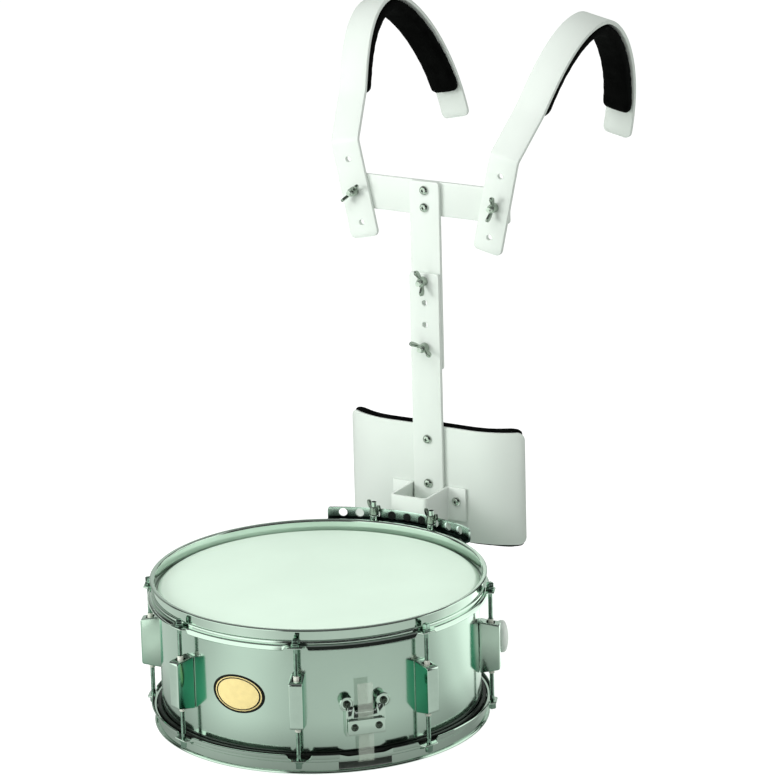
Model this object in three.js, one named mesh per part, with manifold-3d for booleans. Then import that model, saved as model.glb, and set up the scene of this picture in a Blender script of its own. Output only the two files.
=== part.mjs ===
// Marching snare drum with its shoulder carrier.
// Millimetres, +Z up. The drum stands on its snare side, the carrier rises behind it (+Y), and the
// wearer stands further back still. Azimuths run round the drum from its front (-Y) towards +X.
import * as THREE from 'three';
import { mergeVertices } from 'three/addons/utils/BufferGeometryUtils.js';
import Module from 'manifold-3d';

const wasm = await Module();
wasm.setup();

// Clearances and counts
const seatGap = 0.3;
const overrun = 2;
const mergeTolerance = 1e-4;
const ringSegments = 48;
const rodSides = 10;
const boreSides = 8;

// Shell
const shellRadius = 177.8;
const shellDepth = 139.7;
const shellWall = 1.2;
const shellEdgeTurn = 3.5;

// Heads
const filmThickness = 0.4;
const fleshHoopWidth = 4.4;
const fleshHoopHeight = 7;
const fleshHoopDrop = 2.2;

// Counterhoops
const hoopSheet = 2;
const rimRise = 12;
const rimRoll = 3.6;
const rimRollHeight = 2.2;
const hoopFlangeReach = 4.6;
const hoopFlangeDrop = 4.2;
const hoopLipHeight = 5;
const earWidth = 22;
const earNotchSlant = 3;
const earReach = 5.5;
const gateWidth = 60;
const gateHeight = 9;
const gateSill = 3;

// Lugs
const lugCount = 8;
const lugFirstAzimuth = 22.5;
const lugWidth = 15;
const lugDepth = 22.5;
const lugBackLength = 60;
const lugFaceLength = 52;
const lugEdgeChamfer = 1.6;
const lugPocketSize = 9.4;
const lugPocketDepth = 7;
const lugBoreDepth = 24;
const sleeveRadius = 3.5;
const sleeveReach = 6;

// Tension rods
const rodRadius = 2.5;
const rodClearance = 0.35;
const rodInset = 10;
const rodCollarRadius = 4.7;
const rodCollarHeight = 1.8;
const rodHeadSize = 6.2;
const rodHeadHeight = 6.4;

// Carrier rail
const railSheet = 2.5;
const railHeight = 17.2;
const railHalfAngle = 27;
const railHoleCount = 9;
const railHolePitch = 5.5;
const railHoleRadius = 5;
const railCorner = 5;
const railLegReach = 14;
const railHoleRise = 10.2;

// Hook rods between the rail and the snare-side hoop
const hookHoleSteps = 2;
const hookRadius = 3;
const hookStandoff = 2.7;
const hookInset = 6.5;
const hookLegReach = 7.2;
const hookBend = 5;
const hookStandout = 15;
const hookBossRadius = 5.4;
const hookBossHeight = 9;

// Wing nuts
const nutBore = 3.4;
const nutSeatRadius = 5.6;
const nutNeckRadius = 4.6;
const nutBossHeight = 9;
const nutWingFoot = 5.8;
const nutHalfSpan = 15;
const nutWingRise = 14.5;
const nutWingSheet = 2.8;
const nutTipRadius = 3.6;
const nutTurn = { left: 45, right: 78, high: 105, low: -26, hook: 12 };

// Flat bars of the carrier
const barSheet = 5;
const barWidth = 38;
const barCorner = 4;
const boltPitch = 26;
const boltHoleRadius = 3.4;
const boltRadius = 3;
const boltStandout = 15;
const boltHeadRadius = 8;
const boltHeadHeight = 2.6;
const domeRadius = 5.4;
const domeHeight = 3.4;
const domeShoulderShare = 0.82;

const lowerBarLength = 291;
const lowerBarTopMargin = 9;
const lowerDomeRise = 41;
const lowerDomePitch = 53;

const barOverlap = 114;
const upperBarLength = 220;
const slotRadius = 3.7;

const crossbarHeight = 40;
const crossbarHalfLength = 105;
const crossbarDomePitch = 20;

// Shoulder straps: the arch is drawn in a plane square to the strap's width
const strapPivotX = 90;
const strapTilt = { left: 12.2, right: 12.2 };
const strapWidth = 36;
const strapBelowPivot = 55;
const strapBendRise = 59;
const strapHolePitch = 37;
const strapLegSetback = 39.5;
const strapLegRise = 46.3;
const legHandleShare = 0.3;
const archTopSetback = 152;
const archTopRise = 196.8;
const archFrontHandle = 70;
const archBackHandle = 45;
const strapBackSetback = 276;
const strapBackRise = 26.2;
const backHandleSetback = 1;
const backHandleRise = 98.7;
// How far the arch opens sideways for each step back to the wearer
const archSplayShare = 0.04;
const strapCorner = 7;

// Shoulder pads
const shoulderPadThickness = 16;
const shoulderPadSideInset = 0.5;
const padStartShare = 0.137;
const padEndShare = 0.93;
const padEndRun = 8;
const padEndTaperShare = 0.55;
const padCrownShare = 0.72;

// Belly plate and its pad
const plateSheet = 3;
const plateBelowBracket = 25;
const plateHeight = 134;
const plateHalfFlat = 52;
const plateHalfWidth = 113;
const plateWingRadius = 104;
const plateCorner = 9;
const bellyPadThickness = 12;
const bellyPadOverhang = 4;
const bellyPadCrownShare = 0.35;

// Bracket between the belly plate and the rail
const bracketSheet = 3;
const bracketHalfWidth = 24;
const bracketFlangeReach = 47;
const bracketDepth = 54.2;
const bracketHeight = 39;
const bracketBelowRail = 5;
const bracketCorner = 4;
const bracketCornerShare = 0.3;
const bracketBoltX = 35;
const bracketBoltRise = 23;
const bracketPinRadius = 4.6;
const bracketPinStandout = 1;

// Butt plate of the snares, at the front right
const snareAzimuth = 45;
const buttEarSpacing = 41;
const buttEarRadius = 6.5;
const buttEarZ = 79;
const buttSheet = 2.5;
const buttBodyHalfWidth = 21;
const buttBodyTop = 70;
const buttBodyBottom = 42;
const buttStandoff = 6;
const clampWidth = 42;
const clampHeight = 17;
const clampZ = 53;
const clampSheet = 2.6;
const buttScrewSpacing = 27;
const screwHeadRadius = 3.6;
const screwHeadHeight = 1.8;

// Snare straps and wires
const strapTapeWidth = 17;
const strapTapeSheet = 1;
const strapTapeBend = 2.5;
const strapTailTop = 101;
const wireCount = 16;
const wireRadius = 0.8;
const wirePitch = 2.7;
const wireHalfLength = 130;
const endPlateLength = 14;
const endPlateSheet = 1.2;
const tapeOverlap = 8;

// Throw-off, opposite the butt plate
const strainerSheet = 2.5;
const strainerHalfWidth = 17.5;
const strainerBottom = 46;
const strainerTop = 96;
const cheekReach = 9;
const leverPivotRise = 12;
const leverPinRadius = 2;
const leverSheet = 2;
const leverArmWidth = 9;
const leverTop = 128;
const leverHandleHeight = 12;
const leverHandleOffset = 12;
const carriageBottom = 68;
const carriageTop = 92;
const carriageDepth = 8;
const adjusterRadius = 2.2;
const adjusterKnobRadius = 6.5;
const adjusterKnobHeight = 12;
const adjusterKnobStandoff = 15;
const adjusterKnobFlutes = 12;

// Internal tone control with its outside knob
const toneAzimuth = 121;
const toneZ = 83;
const toneHoleRadius = 7;
const toneCollarRadius = 12;
const toneCollarSheet = 2.4;
const toneTubeRadius = 6.5;
const toneShaftRadius = 4;
const toneKnobRadius = 18;
const toneKnobThickness = 12;
const toneKnobCrown = 3;
const toneKnobStandoff = 19;
const toneBlockWidth = 22;
const toneBlockHeight = 34;
const toneBlockDepth = 7;
const toneArmSheet = 2;
const toneArmWidth = 16;
const toneArmTop = 139;
const toneArmReach = 26;
const toneFeltRadius = 17;
const toneFeltHeight = 6;
const tonePivotRise = 10;
const tonePivotDepth = 6;
const tonePinRadius = 1.6;

// Levels and radii that follow from the sizes above
const shellBottom = rimRise + filmThickness + seatGap;
const shellTop = shellBottom + shellDepth;
const drumMiddle = (shellBottom + shellTop) / 2;
const filmInnerRadius = shellRadius + seatGap;
const fleshOuterRadius = filmInnerRadius + fleshHoopWidth + filmThickness;
const skirtInnerRadius = fleshOuterRadius + seatGap;
const skirtOuterRadius = skirtInnerRadius + hoopSheet;
const wallInnerRadius = skirtInnerRadius - hoopSheet;
const wallOuterRadius = wallInnerRadius + hoopSheet;
const rimOuterRadius = wallOuterRadius + rimRoll;
const flangeOuterRadius = skirtOuterRadius + hoopFlangeReach;
const rodCircle = skirtOuterRadius + rodCollarRadius + rodClearance;
const earOuterRadius = rodCircle + earReach;
const lugBackRadius = shellRadius + seatGap;
const rodHeadTop = shellTop - hoopFlangeDrop + seatGap + rodCollarHeight + rodHeadHeight;
const railBottom = rodHeadTop + seatGap;
const hookCircle = flangeOuterRadius + hookStandoff + hookRadius;
const railInnerRadius = hookCircle + hookInset;
const railOuterRadius = railInnerRadius + railSheet;
const nutSeat = railBottom + railSheet + hookBossHeight + seatGap;
const bracketFrontY = railOuterRadius + seatGap;
const uprightBackY = bracketFrontY + bracketDepth;
const uprightFrontY = uprightBackY - barSheet;
const bracketBottom = railBottom - bracketBelowRail;
const bracketTop = bracketBottom + bracketHeight;
const bracketBoltZ = bracketBottom + bracketBoltRise;
const plateBottom = bracketBottom - plateBelowBracket;
const lowerBarBottom = bracketBottom;
const lowerBarTop = lowerBarBottom + lowerBarLength;
const lowerDomeLow = lowerBarBottom + lowerDomeRise;
const upperBarBottom = lowerBarTop - barOverlap;
const upperBarTop = upperBarBottom + upperBarLength;
const strapLayerY = uprightBackY + seatGap;
const crossbarFrontY = strapLayerY + barSheet + seatGap;
const crossbarZ = upperBarTop - crossbarHeight / 2 - seatGap;
const boltTopZ = lowerBarTop - lowerBarTopMargin;
const plateFrontY = uprightBackY + seatGap;
const wireZ = rimRise - seatGap - wireRadius;
const tapeInnerRadius = wireHalfLength - tapeOverlap;
const tapeZ = wireZ - endPlateSheet / 2 - seatGap;
const tapeRadius = skirtOuterRadius + seatGap;

const materials = {
  polishedSteel: new THREE.MeshStandardMaterial({ color: 0xb9cdbf, roughness: 0.16, metalness: 1 }),
  chrome: new THREE.MeshStandardMaterial({ color: 0xcfdcd4, roughness: 0.1, metalness: 1 }),
  film: new THREE.MeshStandardMaterial({ color: 0xdcefe0, roughness: 0.55, metalness: 0 }),
  whitePaint: new THREE.MeshStandardMaterial({ color: 0xebf5ee, roughness: 0.4, metalness: 0 }),
  foam: new THREE.MeshStandardMaterial({ color: 0x0b0c0b, roughness: 0.9, metalness: 0 }),
  snareTape: new THREE.MeshStandardMaterial({ color: 0xb8c9b4, roughness: 0.35, metalness: 0 }),
  felt: new THREE.MeshStandardMaterial({ color: 0xd8d6cc, roughness: 0.95, metalness: 0 }),
};

const product = new THREE.Group();

// Shared shape tools

function signedVolume(position, index) {
  const a = new THREE.Vector3();
  const b = new THREE.Vector3();
  const c = new THREE.Vector3();
  let six = 0;
  for (let i = 0; i < index.length; i += 3) {
    a.fromBufferAttribute(position, index[i]);
    b.fromBufferAttribute(position, index[i + 1]);
    c.fromBufferAttribute(position, index[i + 2]);
    six += a.dot(b.cross(c));
  }
  return six / 6;
}

// Shared corners are merged, empty triangles dropped, and the faces turned to point outwards.
function closed(source) {
  const bare = source.clone();
  bare.deleteAttribute('normal');
  bare.deleteAttribute('uv');
  const merged = mergeVertices(bare, mergeTolerance);
  const kept = [];
  const all = merged.index.array;
  for (let i = 0; i < all.length; i += 3) {
    const [a, b, c] = [all[i], all[i + 1], all[i + 2]];
    if (a !== b && b !== c && c !== a) kept.push(a, b, c);
  }
  if (signedVolume(merged.attributes.position, kept) < 0) kept.reverse();
  const geometry = new THREE.BufferGeometry();
  geometry.setAttribute('position', merged.attributes.position);
  geometry.setIndex(kept);
  return geometry;
}

function toManifold(geometry) {
  const ready = closed(geometry);
  const vertProperties = new Float32Array(ready.attributes.position.array);
  const triVerts = new Uint32Array(ready.index.array);
  return new wasm.Manifold(new wasm.Mesh({ numProp: 3, vertProperties, triVerts }));
}

function fromManifold(body) {
  const mesh = body.getMesh();
  const geometry = new THREE.BufferGeometry();
  geometry.setAttribute('position', new THREE.BufferAttribute(mesh.vertProperties, 3));
  geometry.setIndex(Array.from(mesh.triVerts));
  return geometry;
}

// One body, with further pieces joined on and tools cut away.
function shaped(base, joined, tools = []) {
  let body = toManifold(base);
  for (const extra of joined) body = body.add(toManifold(extra));
  for (const tool of tools) body = body.subtract(toManifold(tool));
  return fromManifold(body);
}

function revolve(outline, segments = ringSegments) {
  const points = [...outline, outline[0]].map(([r, z]) => new THREE.Vector2(r, z));
  return closed(new THREE.LatheGeometry(points, segments).rotateX(Math.PI / 2));
}

function extrude(shape, depth, curveSegments = 5) {
  return new THREE.ExtrudeGeometry(shape, { depth, bevelEnabled: false, curveSegments });
}

// A shape drawn in width and height becomes an upright plate whose front faces -Y.
function uprightPlate(shape, thickness, frontY) {
  return extrude(shape, thickness).rotateX(Math.PI / 2).translate(0, frontY + thickness, 0);
}

// A shape drawn in radius and height becomes a web centred on the tangential direction.
function sideWeb(shape, width, curveSegments) {
  return extrude(shape, width, curveSegments).rotateX(Math.PI / 2).translate(0, width / 2, 0);
}

function polygon(points) {
  return new THREE.Shape(points.map(([x, y]) => new THREE.Vector2(x, y)));
}

function roundedRectangle(x0, y0, x1, y1, radius) {
  const shape = new THREE.Shape();
  shape.absarc(x1 - radius, y0 + radius, radius, -Math.PI / 2, 0);
  shape.absarc(x1 - radius, y1 - radius, radius, 0, Math.PI / 2);
  shape.absarc(x0 + radius, y1 - radius, radius, Math.PI / 2, Math.PI);
  shape.absarc(x0 + radius, y0 + radius, radius, Math.PI, Math.PI * 1.5);
  shape.closePath();
  return shape;
}

function roundHole(shape, x, y, radius) {
  const hole = new THREE.Path();
  hole.absarc(x, y, radius, 0, Math.PI * 2, true);
  shape.holes.push(hole);
}

function ringSector(innerRadius, outerRadius, halfAngle) {
  const shape = new THREE.Shape();
  const middle = Math.PI / 2;
  const half = THREE.MathUtils.degToRad(halfAngle);
  shape.absarc(0, 0, outerRadius, middle - half, middle + half, false);
  shape.absarc(0, 0, innerRadius, middle + half, middle - half, true);
  shape.closePath();
  return shape;
}

function block(x0, x1, y0, y1, z0, z1) {
  const box = new THREE.BoxGeometry(x1 - x0, y1 - y0, z1 - z0);
  return box.translate((x0 + x1) / 2, (y0 + y1) / 2, (z0 + z1) / 2);
}

// Round bars along each axis of the frame they are drawn in
function barZ(radius, z0, z1, sides = 10, x = 0, y = 0) {
  const bar = new THREE.CylinderGeometry(radius, radius, z1 - z0, sides);
  return bar.rotateX(Math.PI / 2).translate(x, y, (z0 + z1) / 2);
}

function barX(radius, x0, x1, sides = 10, y = 0, z = 0) {
  return barZ(radius, x0, x1, sides).rotateY(Math.PI / 2).translate(0, y, z);
}

function barY(radius, y0, y1, sides = 10, x = 0, z = 0) {
  return barZ(radius, y0, y1, sides).rotateX(-Math.PI / 2).translate(x, 0, z);
}

// A low round head on the -Y side of a plate
function domeHead(x, z, frontY) {
  const outline = [
    [0, 0],
    [domeRadius, 0],
    [domeRadius, domeHeight / 3],
    [domeRadius * Math.SQRT1_2, domeHeight * domeShoulderShare],
    [0, domeHeight],
  ];
  return revolve(outline, 8).rotateX(Math.PI / 2).translate(x, frontY + seatGap, z);
}

// Rings of equal count, joined one to the next and closed at both ends
function loft(rings) {
  const count = rings[0].length;
  const positions = [];
  const index = [];
  for (const ring of rings) {
    for (const point of ring) positions.push(point.x, point.y, point.z);
  }
  for (let i = 0; i + 1 < rings.length; i += 1) {
    for (let j = 0; j < count; j += 1) {
      const a = i * count + j;
      const b = i * count + ((j + 1) % count);
      index.push(a, b, b + count, a, b + count, a + count);
    }
  }
  const last = (rings.length - 1) * count;
  for (let j = 1; j + 1 < count; j += 1) {
    index.push(0, j + 1, j);
    index.push(last, last + j, last + j + 1);
  }
  const geometry = new THREE.BufferGeometry();
  geometry.setAttribute('position', new THREE.Float32BufferAttribute(positions, 3));
  geometry.setIndex(index);
  return closed(geometry);
}

// The outline of a strip of even thickness laid along one side of a chain of points
function stripOutline(chain, thickness) {
  const offset = chain.map((point, i) => {
    const before = chain[Math.max(i - 1, 0)];
    const after = chain[Math.min(i + 1, chain.length - 1)];
    const into = point.clone().sub(before).normalize();
    const out = after.clone().sub(point).normalize();
    const along = into.add(out).normalize();
    const turn = i === 0 || i === chain.length - 1 ? 1 : 1 / Math.max(along.dot(out), 0.5);
    return new THREE.Vector2(point.x - along.y * thickness * turn, point.y + along.x * thickness * turn);
  });
  return new THREE.Shape([...chain, ...offset.reverse()]);
}

// The mesh of a part drawn with its local +x pointing outwards at an azimuth
function piece(name, geometry, material, azimuth = null) {
  const mesh = new THREE.Mesh(closed(geometry), material);
  mesh.name = name;
  if (azimuth !== null) mesh.rotation.z = THREE.MathUtils.degToRad(azimuth - 90);
  product.add(mesh);
  return mesh;
}

function outwards(geometry, azimuth) {
  return geometry.rotateZ(THREE.MathUtils.degToRad(azimuth - 90));
}

// How far out a flat face of this half width can lie inside a ring of flats
function flatInside(radius, halfWidth) {
  const apothem = radius * Math.cos(Math.PI / ringSegments);
  return Math.sqrt(apothem * apothem - halfWidth * halfWidth) - seatGap;
}

function lugAzimuths() {
  return Array.from({ length: lugCount }, (_, i) => lugFirstAzimuth + (i * 360) / lugCount);
}

// Shell: one steel sheet with both edges turned in at 45 degrees
function shell() {
  const slant = shellWall * Math.SQRT2;
  const turnedRadius = shellRadius - shellEdgeTurn;
  const innerRadius = shellRadius - shellWall;
  const bend = shellWall * (Math.SQRT2 - 1);
  const outline = [
    [shellRadius, shellBottom + shellEdgeTurn],
    [shellRadius, shellTop - shellEdgeTurn],
    [turnedRadius, shellTop],
    [turnedRadius, shellTop - slant],
    [innerRadius, shellTop - shellEdgeTurn - bend],
    [innerRadius, shellBottom + shellEdgeTurn + bend],
    [turnedRadius, shellBottom + slant],
    [turnedRadius, shellBottom],
  ];
  const hole = outwards(barX(toneHoleRadius, shellRadius - shellEdgeTurn, shellRadius + overrun, 16,
    0, toneZ), toneAzimuth);
  piece('shell', shaped(revolve(outline), [], [hole]), materials.polishedSteel);
}

// A head: film, collar over the bearing edge, and the flesh hoop that it is crimped into
function head(name, edgeZ, up) {
  const diagonal = seatGap * Math.SQRT2;
  const crown = shellRadius - shellEdgeTurn + diagonal - seatGap;
  const collarInner = shellEdgeTurn + seatGap - diagonal;
  const filmSlant = filmThickness * (Math.SQRT2 - 1);
  const bandInner = filmInnerRadius + filmThickness;
  const z = (height) => edgeZ + up * height;
  const outline = [
    [0, z(seatGap)],
    [crown, z(seatGap)],
    [filmInnerRadius, z(-collarInner)],
    [filmInnerRadius, z(-fleshHoopDrop - fleshHoopHeight)],
    [fleshOuterRadius, z(-fleshHoopDrop - fleshHoopHeight)],
    [fleshOuterRadius, z(-fleshHoopDrop)],
    [bandInner, z(-fleshHoopDrop)],
    [crown + filmSlant, z(seatGap + filmThickness)],
    [0, z(seatGap + filmThickness)],
  ];
  piece(name, revolve(outline), materials.film);
}

// A triple-flanged hoop: rolled rim, wall, step onto the flesh hoop, skirt, flange with a turned
// lip, and a flat ear at each rod where the lip is notched away
function hoop(name, edgeZ, up, gateAzimuths) {
  const z = (height) => edgeZ + up * height;
  const top = seatGap + filmThickness + rimRise;
  const step = seatGap - fleshHoopDrop;
  const flange = -hoopFlangeDrop;
  const rollUnder = top - rimRollHeight;
  const outline = [
    [wallInnerRadius, z(step)],
    [wallInnerRadius, z(top)],
    [rimOuterRadius, z(top)],
    [rimOuterRadius, z(rollUnder)],
    [wallOuterRadius, z(rollUnder - hoopSheet / 2)],
    [wallOuterRadius, z(step + hoopSheet)],
    [skirtOuterRadius, z(step + hoopSheet)],
    [skirtOuterRadius, z(flange)],
    [flangeOuterRadius, z(flange)],
    [flangeOuterRadius, z(flange - hoopLipHeight)],
    [flangeOuterRadius - hoopSheet, z(flange - hoopLipHeight)],
    [flangeOuterRadius - hoopSheet, z(flange - hoopSheet)],
    [skirtInnerRadius, z(flange - hoopSheet)],
    [skirtInnerRadius, z(step)],
  ];
  const ears = [];
  const cuts = [];
  const lipTop = z(flange - hoopSheet);
  const lipEnd = z(flange - hoopLipHeight - overrun);
  for (const azimuth of lugAzimuths()) {
    const halfEar = earWidth / 2;
    const ear = polygon([
      [skirtInnerRadius + hoopSheet / 2, -halfEar],
      [flangeOuterRadius, -halfEar],
      [earOuterRadius, earNotchSlant - halfEar],
      [earOuterRadius, halfEar - earNotchSlant],
      [flangeOuterRadius, halfEar],
      [skirtInnerRadius + hoopSheet / 2, halfEar],
    ]);
    const plate = extrude(ear, hoopSheet).translate(0, 0, Math.min(z(flange), lipTop));
    ears.push(outwards(plate, azimuth));
    const notch = polygon([
      [halfEar, lipTop],
      [halfEar + earNotchSlant, lipEnd],
      [-halfEar - earNotchSlant, lipEnd],
      [-halfEar, lipTop],
    ]);
    const notchDepth = flangeOuterRadius - skirtOuterRadius;
    const tool = extrude(notch, notchDepth).rotateX(Math.PI / 2).rotateZ(Math.PI / 2);
    cuts.push(outwards(tool.translate(skirtOuterRadius + hoopSheet / 2, 0, 0), azimuth));
    const hole = barZ(rodRadius + rodClearance, edgeZ - hoopLipHeight - hoopFlangeDrop,
      edgeZ + hoopLipHeight + hoopFlangeDrop, 10, rodCircle);
    cuts.push(outwards(hole, azimuth));
  }
  for (const azimuth of gateAzimuths) {
    const gate = block(wallInnerRadius - overrun, flangeOuterRadius + overrun, -gateWidth / 2,
      gateWidth / 2, gateSill, gateSill + gateHeight);
    cuts.push(outwards(gate, azimuth));
    const passage = block(skirtOuterRadius, flangeOuterRadius + overrun, -gateWidth / 2,
      gateWidth / 2, gateSill + gateHeight - overrun, edgeZ + hoopFlangeDrop + hoopLipHeight + overrun);
    cuts.push(outwards(passage, azimuth));
  }
  piece(name, shaped(revolve(outline), ears, cuts), materials.chrome);
}

// A lug: box casting with sloped open ends, and a swivel-nut sleeve standing out of each
function lugGeometry() {
  const face = lugBackRadius + lugDepth;
  const side = polygon([
    [lugBackRadius, -lugBackLength / 2],
    [face, -lugFaceLength / 2],
    [face, lugFaceLength / 2],
    [lugBackRadius, lugBackLength / 2],
  ]);
  const slope = (lugBackLength - lugFaceLength) / 2 / lugDepth;
  const endAtRod = lugBackLength / 2 - slope * (rodCircle - lugBackRadius);
  const half = lugPocketSize / 2;
  const sleeves = [];
  const bores = [];
  const cuts = [];
  for (const end of [-1, 1]) {
    const pocketZ = [end * (endAtRod - lugPocketDepth), end * (lugBackLength / 2 + overrun)];
    pocketZ.sort((a, b) => a - b);
    cuts.push(block(rodCircle - half, rodCircle + half, -half, half, ...pocketZ));
    const sleeveZ = [end * (endAtRod - lugPocketDepth - overrun), end * (endAtRod + sleeveReach)];
    sleeveZ.sort((a, b) => a - b);
    sleeves.push(barZ(sleeveRadius, ...sleeveZ, boreSides, rodCircle));
    const boreZ = [end * (endAtRod - lugBoreDepth), end * (endAtRod + sleeveReach + overrun)];
    boreZ.sort((a, b) => a - b);
    bores.push(barZ(rodRadius + rodClearance, ...boreZ, boreSides, rodCircle));
  }
  for (const edge of [-1, 1]) {
    const chamfer = polygon([
      [face - lugEdgeChamfer, (edge * lugWidth) / 2],
      [face + overrun, (edge * lugWidth) / 2 + edge * overrun],
      [face + overrun, (edge * lugWidth) / 2 - edge * (lugEdgeChamfer + overrun)],
    ]);
    cuts.push(extrude(chamfer, lugBackLength).translate(0, 0, -lugBackLength / 2));
  }
  const hollow = shaped(sideWeb(side, lugWidth), [], cuts);
  return shaped(hollow, sleeves, bores);
}

// A tension rod: shank, washer collar and square head, drawn with the head upwards from z = 0
function rodGeometry() {
  const tip = lugBackLength / 2 - rodInset - (shellDepth / 2 - hoopFlangeDrop + seatGap);
  const half = rodHeadSize / 2;
  const headTop = rodCollarHeight + rodHeadHeight;
  const joined = [
    barZ(rodCollarRadius, 0, rodCollarHeight, 10),
    block(-half, half, -half, half, rodCollarHeight / 2, headTop),
  ];
  return shaped(barZ(rodRadius, tip, rodCollarHeight / 2, 7), joined);
}

function lugsAndRods() {
  const lug = lugGeometry();
  const rod = rodGeometry();
  const rodUnderside = rod.clone().rotateX(Math.PI);
  const seat = shellDepth / 2 - hoopFlangeDrop + seatGap;
  lugAzimuths().forEach((azimuth, i) => {
    piece(`lug_${i + 1}`, lug, materials.chrome, azimuth).position.z = drumMiddle;
    const turn = THREE.MathUtils.degToRad(azimuth);
    const [x, y] = [rodCircle * Math.sin(turn), -rodCircle * Math.cos(turn)];
    const upper = piece(`batter_rod_${i + 1}`, rod, materials.chrome, azimuth);
    upper.position.set(x, y, drumMiddle + seat);
    const lower = piece(`snare_side_rod_${i + 1}`, rodUnderside, materials.chrome, azimuth);
    lower.position.set(x, y, drumMiddle - seat);
  });
}

// The tape that ties the wires to the butt plate or throw-off: up the shell, then in by the gate
function tapeGeometry(topRadius, topZ, topBend) {
  const path = new THREE.Path();
  path.moveTo(topRadius, topZ);
  path.lineTo(topRadius, topBend);
  path.lineTo(tapeRadius, shellBottom + hoopFlangeDrop + hoopLipHeight);
  path.lineTo(tapeRadius, tapeZ + strapTapeBend);
  path.quadraticCurveTo(tapeRadius, tapeZ, tapeRadius - strapTapeBend, tapeZ);
  path.lineTo(tapeInnerRadius, tapeZ);
  const outline = stripOutline(path.getPoints(3), strapTapeSheet);
  return sideWeb(outline, strapTapeWidth);
}

function buttPlate() {
  const back = lugBackRadius;
  const front = back + buttStandoff + buttSheet;
  const outline = polygon([
    [-buttEarSpacing / 2, buttEarZ - buttEarRadius],
    [-buttBodyHalfWidth, buttBodyTop - buttEarRadius],
    [-buttBodyHalfWidth, buttBodyBottom],
    [buttBodyHalfWidth, buttBodyBottom],
    [buttBodyHalfWidth, buttBodyTop - buttEarRadius],
    [buttEarSpacing / 2, buttEarZ - buttEarRadius],
    [buttEarSpacing / 2, buttEarZ],
    [-buttEarSpacing / 2, buttEarZ],
  ]);
  const turned = (geometry, x0) => geometry.rotateX(Math.PI / 2).rotateZ(Math.PI / 2).translate(x0, 0, 0);
  const base = turned(extrude(outline, buttSheet), front - buttSheet);
  const joined = [];
  for (const side of [-1, 1]) {
    const y = (side * buttEarSpacing) / 2;
    joined.push(barX(buttEarRadius, back, front, 14, y, buttEarZ));
    joined.push(barX(screwHeadRadius, front - seatGap, front + screwHeadHeight, 10, y, buttEarZ));
    joined.push(block(back, front, side * buttBodyHalfWidth - buttSheet / 2,
      side * buttBodyHalfWidth + buttSheet / 2, buttBodyBottom, buttEarZ));
  }
  piece('butt_base', shaped(base, joined), materials.chrome, snareAzimuth);

  const tapeTop = front + seatGap;
  piece('butt_tape', tapeGeometry(tapeTop, strapTailTop, buttBodyBottom), materials.snareTape,
    snareAzimuth);

  const clampBack = tapeTop + strapTapeSheet + seatGap;
  const clampShape = roundedRectangle(-clampWidth / 2, clampZ - clampHeight / 2, clampWidth / 2,
    clampZ + clampHeight / 2, screwHeadRadius);
  const clamp = turned(extrude(clampShape, clampSheet), clampBack);
  const screws = [-1, 1].map((side) => barX(screwHeadRadius, clampBack + clampSheet - seatGap,
    clampBack + clampSheet + screwHeadHeight, 10, (side * buttScrewSpacing) / 2, clampZ));
  const posts = [-1, 1].map((side) => barX(rodRadius, front + seatGap, clampBack + seatGap, 8,
    (side * buttScrewSpacing) / 2, clampZ));
  piece('butt_clamp', shaped(clamp, [...screws, ...posts]), materials.chrome, snareAzimuth);
}

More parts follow.
